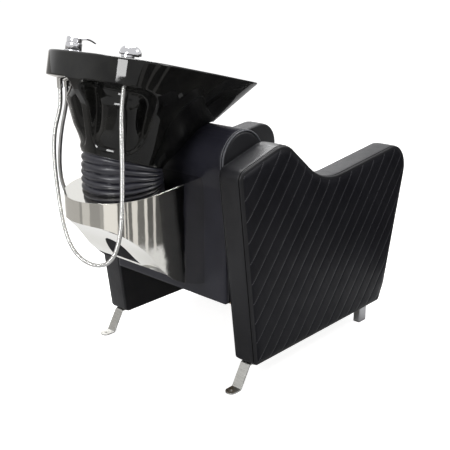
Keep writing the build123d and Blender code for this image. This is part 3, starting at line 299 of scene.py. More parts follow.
BLACK_LEATHER = leather("black_leather", (0.010, 0.010, 0.012), (0.017, 0.017, 0.019), 0.34, 0.46)
BACK_LEATHER = leather("back_leather", (0.011, 0.011, 0.016), (0.018, 0.018, 0.026), 0.30, 0.42)
PANEL_LEATHER = leather("panel_leather", (0.009, 0.009, 0.011), (0.015, 0.015, 0.018), 0.40, 0.52)
# The piping's colour is set much lighter than the black leather round it: painted highlight along the piping
PIPING_PAINTED_SHEEN = leather("piping_painted_sheen", (0.080, 0.082, 0.092), (0.115, 0.117, 0.128), 0.24, 0.34)
# Near-black finish for the rows in the arm band's seam groove: painted shade in the groove
SEAM_PAINTED_SHADE = leather("seam_painted_shade", (0.001, 0.001, 0.001), (0.003, 0.003, 0.003), 0.60, 0.80)
QUILTED_LEATHER = quilted_leather()
POLISHED_STEEL = polished("polished_steel", (0.75, 0.74, 0.70), 0.06, 0.11, 0.0012)
CHROME = polished("chrome", (0.58, 0.58, 0.60), 0.03, 0.07, 0.0002)
HOSE_CHROME = polished("hose_chrome", (0.60, 0.60, 0.59), 0.18, 0.26, 0.0002)
FOOT_STEEL = brushed("foot_steel", (0.60, 0.60, 0.58), 0.30, (30, 30, 900))
ZINC_STEEL = brushed("zinc_steel", (0.46, 0.47, 0.48), 0.34, (200, 200, 200))
BLACK_STEEL = moulded("black_steel", (0.020, 0.020, 0.020), (0.032, 0.032, 0.032), 0.42)
BLACK_PLASTIC = moulded("black_plastic", (0.018, 0.018, 0.018), (0.028, 0.028, 0.028), 0.45)
GREY_PLASTIC = moulded("grey_plastic", (0.40, 0.40, 0.40), (0.47, 0.47, 0.47), 0.40)
RED_PLASTIC = moulded("red_plastic", (0.42, 0.03, 0.03), (0.52, 0.05, 0.05), 0.25)
RUBBER = moulded("bellows_rubber", (0.013, 0.013, 0.019), (0.022, 0.022, 0.031), 0.36, 300)
GLAZE = glazed()
FRAME_WOOD = wooden()
STEEL_BRAID = braided()


# Meshes
def quads(rows, columns, wrap_rows=False, wrap_columns=False):
    """Quads of a grid of points, each (i, j), (i, j+1), (i+1, j+1), (i+1, j)."""
    i = np.arange(rows if wrap_rows else rows - 1)[:, None]
    j = np.arange(columns if wrap_columns else columns - 1)[None, :]
    i_next, j_next = (i + 1) % rows, (j + 1) % columns
    corners = [i * columns + j, i * columns + j_next, i_next * columns + j_next, i_next * columns + j]
    return np.stack(corners, -1).reshape(-1, 4)


def make_piece(name, points, faces, body, finishes, kinds=None, uv=None, crease=45):
    """One closed mesh: coincident points joined, faces turned outwards, smooth below the crease angle."""
    mesh = bpy.data.meshes.new(name)
    mesh.from_pydata(np.asarray(points).reshape(-1, 3).tolist(), [], np.asarray(faces).tolist())
    for finish in finishes:
        mesh.materials.append(finish.material)
    if kinds is not None:
        mesh.polygons.foreach_set("material_index", np.asarray(kinds, np.int32))
    if uv is not None:
        mesh.uv_layers.new(name="UVMap").data.foreach_set("uv", np.asarray(uv, np.float32).ravel())
    work = bmesh.new()
    work.from_mesh(mesh)
    bmesh.ops.remove_doubles(work, verts=work.verts, dist=0.000002)
    bmesh.ops.recalc_face_normals(work, faces=work.faces)
    work.to_mesh(mesh)
    work.free()
    mesh.shade_smooth()
    mesh.set_sharp_from_angle(angle=radians(crease))
    piece = bpy.data.objects.new(name, mesh)
    bpy.context.scene.collection.objects.link(piece)
    if body:
        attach(piece, body)
    return piece


def unit(vectors):
    """Vectors divided by their lengths."""
    return vectors / np.linalg.norm(vectors, axis=-1, keepdims=True)


def lengths_along(line):
    """Distance from the start of a line of points to each of its points."""
    return np.r_[0, np.cumsum(np.linalg.norm(np.diff(line, axis=0), axis=1))]


def resample(line, places):
    """Points of a line at the given distances from its start."""
    along = lengths_along(line)
    return np.stack([np.interp(places, along, line[:, k]) for k in range(line.shape[1])], 1)


def tube_points(line, radii, sides, reference):
    """Point = line + radius * (cos t * side + sin t * up), side and up square to the line."""
    tangent = unit(np.gradient(line, axis=0))
    side = unit(np.cross(tangent, reference))
    up = np.cross(side, tangent)
    turn = np.linspace(0, 2 * pi, sides, endpoint=False)[None, :, None]
    ring = np.cos(turn) * side[:, None] + np.sin(turn) * up[:, None]
    return line[:, None] + np.asarray(radii)[:, None, None] * ring


def tube_uv(rows, columns, length):
    """UV of a tube's quads: u is the distance along it in metres, v is the share of a turn round it."""
    u = np.linspace(0, length, rows)
    i, j = np.arange(rows - 1)[:, None], np.arange(columns)[None, :]
    low, high = u[i] + 0 * j, u[i + 1] + 0 * j
    left, right = j / columns + 0 * i, (j + 1) / columns + 0 * i
    corners = [(low, left), (low, right), (high, right), (high, left)]
    return np.stack([np.stack(corner, -1) for corner in corners], -2)


def smooth_route(name, points):
    """Points of the NURBS line whose control points are a hose's route."""
    curve = bpy.data.curves.new(name, "CURVE")
    curve.dimensions = "3D"
    curve.resolution_u = 32
    spline = curve.splines.new("NURBS")
    spline.points.add(len(points) - 1)
    spline.points.foreach_set("co", np.c_[np.array(points), np.ones(len(points))].ravel())
    spline.order_u = 3
    spline.use_endpoint_u = True
    holder = bpy.data.objects.new(name, curve)
    line = bpy.data.meshes.new_from_object(holder)
    spots = np.empty(len(line.vertices) * 3)
    line.vertices.foreach_get("co", spots)
    bpy.data.objects.remove(holder)
    bpy.data.curves.remove(curve)
    bpy.data.meshes.remove(line)
    return spots.reshape(-1, 3)


# Points of one rib: share of the pitch, and share of the groove's depth
RIB_PLACES, RIB_DEPTHS = np.array([0.09, 0.27, 0.59, 0.91]), np.array([1.0, 0.15, 0.0, 0.15])


def ribbed_hose(name, points, diameter, pitch, depth, sides, reference, body, finish, node):
    """Hose with a rib every pitch: radius is full on the rib and smaller by depth between two ribs."""
    route = smooth_route(name, points)
    total = lengths_along(route)[-1]
    count = int(total / pitch)
    places = (np.arange(count)[:, None] + RIB_PLACES).ravel() * total / count
    places = np.r_[0, places, total]
    shape = np.tile(depth * RIB_DEPTHS, count)
    radii = diameter / 2 - np.r_[depth, shape, depth]
    line = resample(route, places)
    rings = tube_points(line, radii, sides, reference)
    start, end = (np.repeat(line[k:, None][:1], sides, 1) for k in (0, -1))
    rings = np.concatenate([start, rings, end])
    faces = quads(len(rings), sides, wrap_columns=True)
    hose = make_piece(name, rings, faces, body, [finish], uv=tube_uv(len(rings), sides, total))
    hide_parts(node)
    return hose


# Hoses: the routes' control points are those of the solids
SHOWER_ROUTE = [
    (-0.138, 0.2373, 0.9616), (-0.138, 0.2456, 0.925), (-0.1385, 0.256, 0.862), (-0.1475, 0.2655, 0.788),
    (-0.1525, 0.272, 0.705), (-0.1515, 0.2765, 0.620), (-0.145, 0.2795, 0.547), (-0.126, 0.281, 0.489),
    (-0.092, 0.279, 0.447), (-0.045, 0.275, 0.423), (0.013, 0.2695, 0.411), (0.069, 0.265, 0.418),
    (0.113, 0.260, 0.441), (0.145, 0.2545, 0.481), (0.163, 0.2515, 0.535), (0.172, 0.2515, 0.600),
    (0.1795, 0.2515, 0.672), (0.180, 0.249, 0.741), (0.1725, 0.246, 0.790), (0.158, 0.2405, 0.832),
    (0.1495, 0.236, 0.8695), (0.1495, 0.236, 0.9065),
]
SUPPLY_ROUTE = [
    (0.156, 0.210, 0.9065), (0.156, 0.210, 0.873), (0.1645, 0.2145, 0.833), (0.1765, 0.218, 0.794),
    (0.1845, 0.222, 0.752), (0.187, 0.227, 0.708), (0.1865, 0.2305, 0.664), (0.1865, 0.227, 0.621),
    (0.188, 0.213, 0.581), (0.190, 0.189, 0.550), (0.192, 0.157, 0.527), (0.1935, 0.121, 0.512),
    (0.1945, 0.084, 0.503), (0.195, 0.047, 0.4975), (0.195, 0.010, 0.4975),
]
SUPPLY_STEP = np.array([0.0099, -0.0104, 0])

ribbed_hose(
    "shower_hose_ribs", SHOWER_ROUTE, 0.0125, 0.0039, 0.0009, 18, (0, 1, 0), "bowl", HOSE_CHROME,
    "shower_hose",
)
for label, shift in (("cold", 0), ("hot", 1)):
    braid = ribbed_hose(
        f"supply_braid_{label}", [tuple(np.array(p) + shift * SUPPLY_STEP) for p in SUPPLY_ROUTE],
        0.009, 0.0030, 0.00012, 20, (1, 0, 0), None, STEEL_BRAID, f"supply_hose_{label}",
    )
    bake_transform(braid)


# Upholstery on a rounded outline
def rounded(corners, radii, bend_points=14):
    """Closed outline whose corners are arcs, and the place of each arc's middle in it.

    Arc point = centre + radius * direction turned evenly from the first touching point to the second."""
    corners = np.array(corners)
    radii = np.array(radii)[:, None]
    before = unit(np.roll(corners, 1, 0) - corners)
    after = unit(np.roll(corners, -1, 0) - corners)
    half = np.arccos(np.clip((before * after).sum(1, keepdims=True), -1, 1)) / 2
    reach = radii / np.tan(half)
    centre = corners + unit(before + after) * radii / np.sin(half)
    start, end = corners + before * reach - centre, corners + after * reach - centre
    sweep = pi - 2 * half
    share = np.linspace(0, 1, bend_points)[None, :, None]
    turn = sweep[:, None]
    arcs = np.sin((1 - share) * turn) * start[:, None] + np.sin(share * turn) * end[:, None]
    arcs = arcs / np.sin(turn)
    outline = (centre[:, None] + arcs).reshape(-1, 2)
    return outline, np.arange(len(corners)) * bend_points + bend_points // 2


def loop_of(corners, radii, splits, across, up):
    """Outline sampled evenly on its four sides, and the outward normal at each point.

    The sides run between the middles of the arcs at the split corners: up, across, down, back."""
    outline, middles = rounded(corners, radii)
    outline = np.roll(outline, -middles[splits[0]], 0)
    cuts = [(middles[s] - middles[splits[0]]) for s in splits]
    closed = np.vstack([outline, outline[:1]])
    along = lengths_along(closed)
    ends = [along[c] for c in cuts] + [along[-1]]
    counts = (up, across, up, across)
    places = np.concatenate([np.linspace(a, b, n)[:-1] for a, b, n in zip(ends, ends[1:], counts)])
    loop = resample(closed, places)
    fine = along[-1] / len(loop)
    ahead, behind = (resample(closed, (places + way * fine) % along[-1]) for way in (1, -1))
    tangent = unit(ahead - behind)
    return loop, np.stack([tangent[:, 1], -tangent[:, 0]], 1)


def coons(loop, across, up):
    """P(u, v) = (1-v)B(u) + vT(u) + (1-u)L(v) + uR(v) less the blend of the four corners.

    It comes with each point's rough distance from the patch's edge."""
    closed = np.vstack([loop, loop[:1]])
    a, b, c = up - 1, up + across - 2, 2 * up + across - 3
    left, top = closed[:a + 1], closed[a:b + 1]
    right, bottom = closed[b:c + 1][::-1], closed[c:][::-1]
    u = np.linspace(0, 1, across)[None, :, None]
    v = np.linspace(0, 1, up)[:, None, None]
    sides = (1 - v) * bottom[None] + v * top[None] + (1 - u) * left[:, None] + u * right[:, None]
    blend = (1 - u) * (1 - v) * left[0] + u * (1 - v) * right[0]
    blend = blend + (1 - u) * v * left[-1] + u * v * right[-1]
    wide = np.linalg.norm(right - left, axis=1)[:, None]
    tall = np.linalg.norm(top - bottom, axis=1)[None, :]
    u, v = u[..., 0], v[..., 0]
    edge = np.minimum(np.minimum(u, 1 - u) * wide, np.minimum(v, 1 - v) * tall)
    return sides - blend, edge


def block(name, outline, profile, out_swell, in_swell, body, finishes, seams=()):
    """Closed padded form: each loop point is the outline less inset times its normal, at the profile's x.

    Both ends are Coons patches, which stand out along X by their swell of place and distance from the
    edge. The band has the first finish, its rows in seams the last, and the two ends the second and third."""
    loop, normal, across, up = outline
    profile = np.array(profile)
    drawn = loop[None] - profile[:, 1, None, None] * normal[None]
    band = np.concatenate([np.broadcast_to(profile[:, 0, None, None], (*drawn.shape[:2], 1)), drawn], -1)
    points, faces = [band.reshape(-1, 3)], [quads(*band.shape[:2], wrap_columns=True)]
    kinds = [np.repeat(np.isin(np.arange(len(profile) - 1), seams) * (len(finishes) - 1), len(loop))]
    count = len(points[0])
    outwards = np.sign(profile[0, 0] - profile[-1, 0])
    for row, swell, way, kind in ((0, out_swell, outwards, 1), (-1, in_swell, -outwards, 2)):
        flat, edge = coons(drawn[row], across, up)
        x = profile[row, 0] + way * swell(flat[..., 0], flat[..., 1], edge)
        sheet = np.concatenate([x[..., None], flat], -1).reshape(-1, 3)
        points.append(sheet)
        faces.append(quads(up, across) + count)
        kinds.append(np.full(len(faces[-1]), kind))
        count += len(sheet)
    points, faces, kinds = (np.concatenate(part) for part in (points, faces, kinds))
    return make_piece(name, points, faces, body, finishes, kinds)


def no_swell(y, z, edge):
    """Flat."""
    return 0 * y


def dome(share):
    """1 - (1 - share)^2 for a share from 0 to 1: steep at the seam, level at the middle."""
    return 1 - (1 - np.clip(share, 0, 1)) ** 2


def seam_gap(y, z, across, shift):
    """Distance from the nearest sewn line of one family."""
    away = (y * across[1] + z * across[2] - shift) / QUILT_PITCH
    return np.abs(away - np.round(away)) * QUILT_PITCH


def quilt_swell(y, z, edge):
    """Wide crown of 3 mm, 3.5 mm more that rises close to the edge, and 1.1 mm puffs between sewn lines."""
    main = 0.0011 * dome(seam_gap(y, z, MAIN_ACROSS, MAIN_SHIFT) / 0.014)
    cross = 0.00015 * dome(seam_gap(y, z, CROSS_ACROSS, CROSS_SHIFT) / 0.010)
    crown = 0.0030 * dome(edge / 0.16) + 0.0035 * dome(edge / 0.034)
    return crown + (main + cross) * np.clip(edge / 0.02, 0, 1)


# Arm panels: corners as shares of the length behind the rear edge and of the rise over the lower edge
ARM_REAR, ARM_LENGTH, ARM_LOW, ARM_RISE, ARM_OUTER = 0.014, 0.917, 0.074, 0.681, 0.340
ARM_SHARES = [
    (0.086, 0), (0, 0.911), (0.2203, 1), (0.4354, 0.765), (1, 0.856), (0.8735, 0.091), (0.8408, 0),
]
ARM_CORNERS = [(ARM_REAR - ARM_LENGTH * a, ARM_LOW + ARM_RISE * b) for a, b in ARM_SHARES]
ARM_RADII = [0.014, 0.032, 0.090, 0.220, 0.088, 0.014, 0.014]
# Depth behind the outer face and inset of the band's section: roll, seam, crown, seam, roll
ARM_SECTION = [
    (-0.0010, 0.0110), (-0.0008, 0.0075), (0.0000, 0.0045), (0.0016, 0.0020), (0.0036, 0.0007),
    (0.0046, 0.0006), (0.0052, 0.0030), (0.0072, 0.0030), (0.0079, 0.0002), (0.0110, -0.0006),
    (0.0210, -0.0006), (0.0330, -0.0008), (0.0420, -0.0008), (0.0510, -0.0008), (0.0630, -0.0006),
    (0.0725, -0.0003), (0.0760, 0.0001), (0.0774, 0.0010), (0.0782, 0.0024), (0.0790, 0.0009),
    (0.0804, 0.0007), (0.0822, 0.0020), (0.0834, 0.0045), (0.0837, 0.0075), (0.0838, 0.0110),
]
# Rows of the section that lie in the outer seam's groove; they get a near-black finish as painted shade in
# the groove
ARM_SEAMS = (5, 6, 7)


def make_arm(label, side):
    """One arm panel: a quilted outer face, a plain inner face and a band between two seams."""
    across, up = ((236, 168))
    loop, normal = loop_of(ARM_CORNERS, ARM_RADII, (0, 1, 4, 6), across, up)
    profile = [(side * (ARM_OUTER - depth), inset) for depth, inset in ARM_SECTION]
    arm = block(
        f"{label}_arm_upholstery", (loop, normal, across, up), profile, quilt_swell, no_swell, "chair",
        [BLACK_LEATHER, QUILTED_LEATHER, BLACK_LEATHER, SEAM_PAINTED_SHADE], ARM_SEAMS,
    )
    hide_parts(f"{label}_arm_outer_pad", f"{label}_arm_inner_pad", f"{label}_arm_band")


make_arm("right", -1)
make_arm("left", 1)

# Backrest: one cover over the whole pad and roll, with end panels and piping
BACK_CORNERS = [
    (-0.030, 0.262), (-0.030, 0.620), (0.02087, 0.790), (-0.16516, 0.790), (-0.275, 0.456),
    (-0.275, 0.330), (-0.066, 0.330), (-0.066, 0.262),
]
BACK_RADII = [0.005, 0.060, 0.090, 0.090, 0.040, 0.008, 0.008, 0.005]
# Distance from the middle plane and inset: the cover's end, the end panel's face and edge
COVER_END = [
    (0.2495, 0.0110), (0.2493, 0.0075), (0.2484, 0.0042), (0.2466, 0.0018), (0.2436, 0.0004), (0.2380, 0.0),
    (0.2200, 0.0), (0.1900, 0.0),
]
PANEL_SECTION = [(0.2546, 0.0150), (0.2543, 0.0110), (0.2534, 0.0086), (0.2518, 0.0072), (0.2490, 0.0070)]
# Name, distance from the middle plane, inset and radius of each piping
PIPINGS = [("outer", 0.2522, 0.0031, 0.0030), ("inner", 0.2462, 0.0008, 0.0016)]


def make_back():
    """Backrest cover, its two end panels and the piping round them."""
    across, up = 90, 110
    loop, normal = loop_of(BACK_CORNERS, BACK_RADII, (0, 2, 3, 5), across, up)
    outline = loop, normal, across, up
    middle = [(x, 0.0) for x in np.linspace(0.16, -0.16, 20)]
    section = COVER_END + middle + [(-x, inset) for x, inset in reversed(COVER_END)]
    cover = block("backrest_cover", outline, section, no_swell, no_swell, "chair", [BACK_LEATHER] * 3)
    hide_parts("back_cushion", "back_rear_pad")
    for label, side in (("right", -1), ("left", 1)):
        panel = block(
            f"{label}_back_end_panel", outline, [(side * x, inset) for x, inset in PANEL_SECTION],
            lambda y, z, edge: 0.0008 * dome(edge / 0.03), no_swell, "chair", [PANEL_LEATHER] * 3,
        )
        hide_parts("back_end_panels")
        for kind, x, inset, radius in PIPINGS:
            edge = loop - inset * normal
            rear = (edge[:, 0] > -0.1) & (edge[:, 1] > 0.655)
            front = (edge[:, 0] <= -0.1) & (edge[:, 1] > 0.46)
            edge = edge[rear | front]
            edge = resample(edge, np.linspace(0, lengths_along(edge)[-1], 150))
            line = np.c_[np.full(len(edge), side * x), edge]
            radii = np.r_[0, np.full(len(line) - 2, radius), 0]
            piping = make_piece(
                f"{label}_back_piping_{kind}", tube_points(line, radii, 12, (1, 0, 0)),
                quads(len(line), 12, wrap_columns=True), "chair", [PIPING_PAINTED_SHEEN],
            )
            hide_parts("back_piping")


make_back()


# Seat
SEAT_HALF, SEAT_FRONT, SEAT_REAR, SEAT_MIDDLE = 0.2545, -0.800, -0.2765, -0.538


def make_seat():
    """Seat cushion: rings of a drawn-in rounded rectangle, full at the middle of its height.

    Ring = centre + share * (plan - centre) at the height of the section; the front slopes down."""
    centre = np.array([0.0, SEAT_MIDDLE])
    corners = [
        (SEAT_HALF, SEAT_FRONT), (SEAT_HALF, SEAT_REAR), (-SEAT_HALF, SEAT_REAR), (-SEAT_HALF, SEAT_FRONT),
    ]
    outline, _ = rounded(corners, [0.03] * 4, 18)
    closed = np.vstack([outline, outline[:1]])
    plan = resample(closed, np.linspace(0, lengths_along(closed)[-1], 260, endpoint=False))
    # The long sides are drawn in by 6 mm at the middle
    pull = 0.006 * np.cos(np.clip(plan[:, 1] - SEAT_MIDDLE, -0.26, 0.26) * pi / 0.52) * np.sign(plan[:, 0])
    plan = np.c_[plan[:, 0] - pull, plan[:, 1]]
    low, high, crown = 0.3302, 0.436, 0.012
    section = [(s, low) for s in np.linspace(0, 0.97, 12)]
    section += [(0.985, low + 0.002), (0.993, low + 0.012), (0.998, low + 0.035), (1.0, low + 0.055)]
    section += [(0.998, high - 0.022), (0.993, high - 0.008), (0.988, high - 0.002), (0.982, high)]
    section += [(0.975, high - 0.0022), (0.968, high), (0.955, high + 0.0016)]
    section += [(s, high + crown * (1 - (s / 0.955) ** 2) + 0.0016) for s in np.linspace(0.92, 0, 24)]
    section = np.array(section)
    rings = centre + section[:, 0, None, None] * (plan[None] - centre)
    height = np.broadcast_to(section[:, 1, None, None], (*rings.shape[:2], 1))
    rings = np.concatenate([rings, height], -1)
    front = np.clip((-0.70 - rings[..., 1]) / 0.10, 0, 1)
    rings[..., 2] = low + (rings[..., 2] - low) * (1 - 0.30 * front**2)
    cushion = make_piece(
        "seat_upholstery", rings, quads(*rings.shape[:2], wrap_columns=True), "chair", [BLACK_LEATHER],
    )
    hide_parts("seat_cushion")


make_seat()


APRON_LOW, APRON_HIGH, APRON_MIDDLE = 0.226, 0.3296, 0.2778
# Share of the way from the apron's middle to its outline, and Y, from the front to the rear
APRON_SECTION = np.array([
    (0.0, -0.8012), (0.5, -0.8012), (0.9, -0.8008), (0.965, -0.7998), (0.985, -0.7985), (0.996, -0.7960),
    (1.0, -0.7925), (1.0, -0.7860), (0.99, -0.7822), (0.5, -0.7820), (0.0, -0.7820),
])


def make_apron():
    """Front apron: an upholstered board with a soft edge all round."""
    corners = [
        (SEAT_HALF, APRON_LOW), (SEAT_HALF, APRON_HIGH), (-SEAT_HALF, APRON_HIGH), (-SEAT_HALF, APRON_LOW),
    ]
    outline, _ = rounded(corners, [0.008] * 4, 10)
    middle = np.array([0.0, APRON_MIDDLE])
    rings = middle + APRON_SECTION[:, 0, None, None] * (outline[None] - middle)
    depth = np.broadcast_to(APRON_SECTION[:, 1, None, None], (*rings.shape[:2], 1))
    rings = np.concatenate([rings[..., :1], depth, rings[..., 1:]], -1)
    apron = make_piece(
        "apron_upholstery", rings, quads(*rings.shape[:2], wrap_columns=True), "chair", [BLACK_LEATHER],
    )
    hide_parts("front_apron")


make_apron()


# Bellows: middle and lean of the two rings, radii of the grooves next to them, rise of a fold
BELLOWS_FOOT, FOOT_LEAN = np.array([0, 0.1436, 0.63268]), np.arctan(0.0858)
BELLOWS_TOP, TOP_LEAN = np.array([0, 0.1434, 0.7024]), -radians(18.3)
FOOT_RADIUS, TOP_RADIUS, FOLD_RISE, FOLD_COUNT, BELLOWS_WALL = 0.1115, 0.1136, 0.0095, 5, 0.0030


def make_bellows():
    """Rubber bellows: radius = root + rise * |sin| of the fold, on a line between two leaning rings.

    Folds lie nearer together towards the top, and each dips and swells a little on its way round."""
    columns = 160
    turn = np.linspace(0, 2 * pi, columns, endpoint=False)[None, :]
    share = np.linspace(0, 1, 91)[:, None]
    fold = share**0.88 * FOLD_COUNT
    ripple = 0.10 * np.sin(turn * 3 + fold) + 0.06 * np.sin(turn * 7 + 2 * fold)
    wave = np.abs(np.sin(pi * (fold + ripple * np.sin(pi * share)))) ** 0.62
    base = FOOT_RADIUS + (TOP_RADIUS - FOOT_RADIUS) * share
    fade = np.clip(np.minimum(share, 1 - share) / 0.05, 0, 1)
    radius = base + fade * (FOLD_RISE * wave * (1 - 0.25 * share) - 0.0015)
    lean = -FOOT_LEAN * (1 - share) - TOP_LEAN * share
    across = [np.cos(turn) * np.ones_like(share), np.sin(turn) * np.cos(lean), np.sin(turn) * np.sin(lean)]
    across = np.stack(across, -1)
    middle = BELLOWS_FOOT + (BELLOWS_TOP - BELLOWS_FOOT) * share[..., None]
    outer = middle + radius[..., None] * across
    inner = (middle + (base - BELLOWS_WALL)[..., None] * across)[::-1]
    points = np.concatenate([outer, inner])
    faces = quads(len(points), columns, wrap_rows=True, wrap_columns=True)
    bellows = make_piece("bellows_folds", points, faces, None, [RUBBER], crease=60)
    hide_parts("bellows")
    return bellows


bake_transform(make_bellows())


# Basin: half width, run to the rear and run to the front of the rim and of the bowl's mouth
RIM_SIZE, MOUTH_SIZE = (0.219, 0.290, 0.300), (0.199, 0.198, 0.280)
RIM_REAR_SHARES = [(0, 1), (0.46, 0.985), (0.83, 0.86), (0.985, 0.63), (1, 0.3)]
RIM_FRONT_SHARES = [(0.965, 0.15), (0.885, 0.52), (0.80, 0.84), (0.66, 0.975), (0.33, 1), (0, 1)]
RING_V, RING_DEPTH, RING_RADIUS, RING_TILT = 0.083, 0.282, 0.118, radians(5.5)
# The backrest's roll in the rim's own axes: the basin stands clear of this circle
ROLL_V, ROLL_LIFT, ROLL_CLEAR = -0.1549, -0.2304, 0.0945
BOWL_DEPTH, FLOOR_RADIUS, DRAIN_RADIUS, WALL = 0.222, 0.052, 0.0225, 0.010
LIP_RADIUS, EDGE_RADIUS, NECK_DIP = 0.011, 0.007, 0.012
LIP_ANGLES = np.radians([8, 20, 34, 48, 62, 76, 90])
# Bezier points of the bowl's wall, rear and front: share of the way out, share of the depth
BOWL_REAR = np.array([
    (0, 1), (0.18, 1), (0.36, 0.97), (0.54, 0.90), (0.70, 0.76), (0.80, 0.56), (0.90, 0.38), (0.96, 0.2),
    (1, 0.05),
])
BOWL_FRONT = np.array([
    (0, 1), (0.14, 1), (0.26, 0.90), (0.34, 0.74), (0.44, 0.62), (0.62, 0.54), (0.86, 0.44), (0.95, 0.25),
    (1, 0.05),
])
BERNSTEIN = np.array([1, 8, 28, 56, 70, 56, 28, 8, 1])
# Radius and depth of the drain and the floor round it
FLOOR_SECTION = [
    (DRAIN_RADIUS, 0.2330), (DRAIN_RADIUS, 0.2235), (0.0232, 0.2224), (0.0255, 0.2220), (0.038, 0.2220),
]
# Radius and height over the ring's plane of the ring and the hollow inside it
HOLLOW_SECTION = np.array([
    (0.1174, 0.0008), (0.1160, 0.0001), (0.1145, 0), (0.1090, 0), (0.1072, 0.0006), (0.1060, 0.0025),
    (0.1060, 0.020), (0.100, 0.031), (0.086, 0.039), (0.060, 0.0445), (0.040, 0.0475),
])
# The rear band ends between these bearings, and between these depths under the rim
BAND_BEARINGS, BAND_DEPTHS = (radians(44), radians(92)), (0.070, 0.150)
# Scoops, along the hull and down it: metres to a radian and to the whole share, middle and half size
SCOOP_SCALE, SCOOP_MIDDLE, SCOOP_HALF = (0.150, 0.250), (0.1000, 0.1500), (0.0860, 0.0830)


def step(low, high, value):
    """3t^2 - 2t^3 of the value's share t of the way from low to high."""
    share = np.clip((value - low) / (high - low), 0, 1)
    return share * share * (3 - 2 * share)


def egg_radius(size, bearing):
    """Distance from the ring's axis to a smooth egg outline, in each direction.

    The outline is the Catmull-Rom line through its shares of the half width, rear and front."""
    half_width, rear, front = size
    half = [(half_width * a, rear * b) for a, b in RIM_REAR_SHARES]
    half += [(half_width * a, -front * b) for a, b in RIM_FRONT_SHARES]
    whole = np.array(half + [(-x, v) for x, v in half[-2:0:-1]])
    back, here, on, far = (np.roll(whole, k, 0)[:, None] for k in (1, 0, -1, -2))
    t = np.linspace(0, 1, 40, endpoint=False)[None, :, None]
    curve = 2 * back - 5 * here + 4 * on - far + t * (3 * (here - on) + far - back)
    line = here + 0.5 * t * (on - back + t * curve)
    x, v = line[..., 0].ravel(), line[..., 1].ravel() - RING_V
    turn = np.arctan2(x, v)
    order = np.argsort(turn)
    return np.interp(bearing, turn[order], np.hypot(x, v)[order], period=2 * pi)


def scoops(bearing, share):
    """Cut, from 0 outside to 1 inside, and depth of the two scoops in the rear of the hull.

    Inside a rounded box, drawn on the hull's side, both rise as a dome from the lip, and the depth then
    eases off towards the middle, where the bowl's own round form shows."""
    along = np.abs(bearing) * SCOOP_SCALE[0] - SCOOP_MIDDLE[0]
    down = share * SCOOP_SCALE[1] - SCOOP_MIDDLE[1]
    corner = np.where(down < 0, np.where(along < 0, 0.020, 0.046), np.where(along < 0, 0.030, 0.060))
    out_along, out_down = np.abs(along) - SCOOP_HALF[0] + corner, np.abs(down) - SCOOP_HALF[1] + corner
    outside = np.hypot(np.maximum(out_along, 0), np.maximum(out_down, 0))
    inside = corner - outside - np.minimum(np.maximum(out_along, out_down), 0)
    inside = 0.5 * (inside + np.sqrt(inside**2 + 0.0030**2))
    inside = np.where(inside < 0.0006, 0, inside - 0.0006)
    cut = 1 - (1 - np.clip(inside / 0.011, 0, 1)) ** 2
    return cut, cut * (0.030 - 0.024 * step(0.45, 0.90, share)) * (1 - 0.85 * step(0.008, 0.055, inside))


def hull_radius(bearing, rim, share):
    """Radius of the hull: a straight line from rim to ring, plus the rear band, less the scoops."""
    fall = (rim - RING_RADIUS) * share
    band = 1 - step(*BAND_BEARINGS, np.abs(bearing))
    stand = band * fall * (1 - step(*BAND_DEPTHS, share * RING_DEPTH))
    cut, depth = scoops(bearing, share)
    return rim - fall + stand * (1 - cut) - depth


def bowl_rows(bearing, rim, mouth, drop):
    """Radius and depth of the bowl's rows: a Bezier line from floor to mouth, lower towards the front.

    The radius is the soft minimum of that line and the hull less a wall."""
    t = np.linspace(0, 1, 46)[:, None]
    weight = BERNSTEIN * t ** np.arange(9) * (1 - t) ** np.arange(8, -1, -1)
    ahead = step(radians(112), radians(158), np.abs(bearing))
    out, level = (
        (weight @ BOWL_REAR[:, k])[:, None] * (1 - ahead) + (weight @ BOWL_FRONT[:, k])[:, None] * ahead
        for k in (0, 1)
    )
    depth = level * BOWL_DEPTH
    radius = FLOOR_RADIUS + out * (mouth - FLOOR_RADIUS)
    limit = hull_radius(bearing, rim, depth / drop) - WALL
    inner = 0.5 * (radius + limit - np.sqrt((radius - limit) ** 2 + 0.004**2))
    return list(zip(np.where(out < 0.04, radius, inner), depth))


def lip_rows(bearing, rim, mouth, drop):
    """Radius and depth of the rows from mouth to rim: an arc at the mouth, the deck, an arc at the rim."""
    edge, top = mouth[0] + LIP_RADIUS, rim[0]
    rows = []
    for angle in LIP_ANGLES:
        rows.append((edge - LIP_RADIUS * cos(angle), LIP_RADIUS * (1 - sin(angle)) + 0 * edge))
    rows += [(edge + (top - EDGE_RADIUS - edge) * s, 0 * edge) for s in (0.15, 0.35, 0.6, 0.85)]
    for angle in LIP_ANGLES[::-1]:
        fall = EDGE_RADIUS * (1 - sin(angle))
        radius = hull_radius(bearing, rim, fall / drop)[0]
        rows.append((radius - EDGE_RADIUS * (1 - cos(angle)), fall + 0 * edge))
    return rows


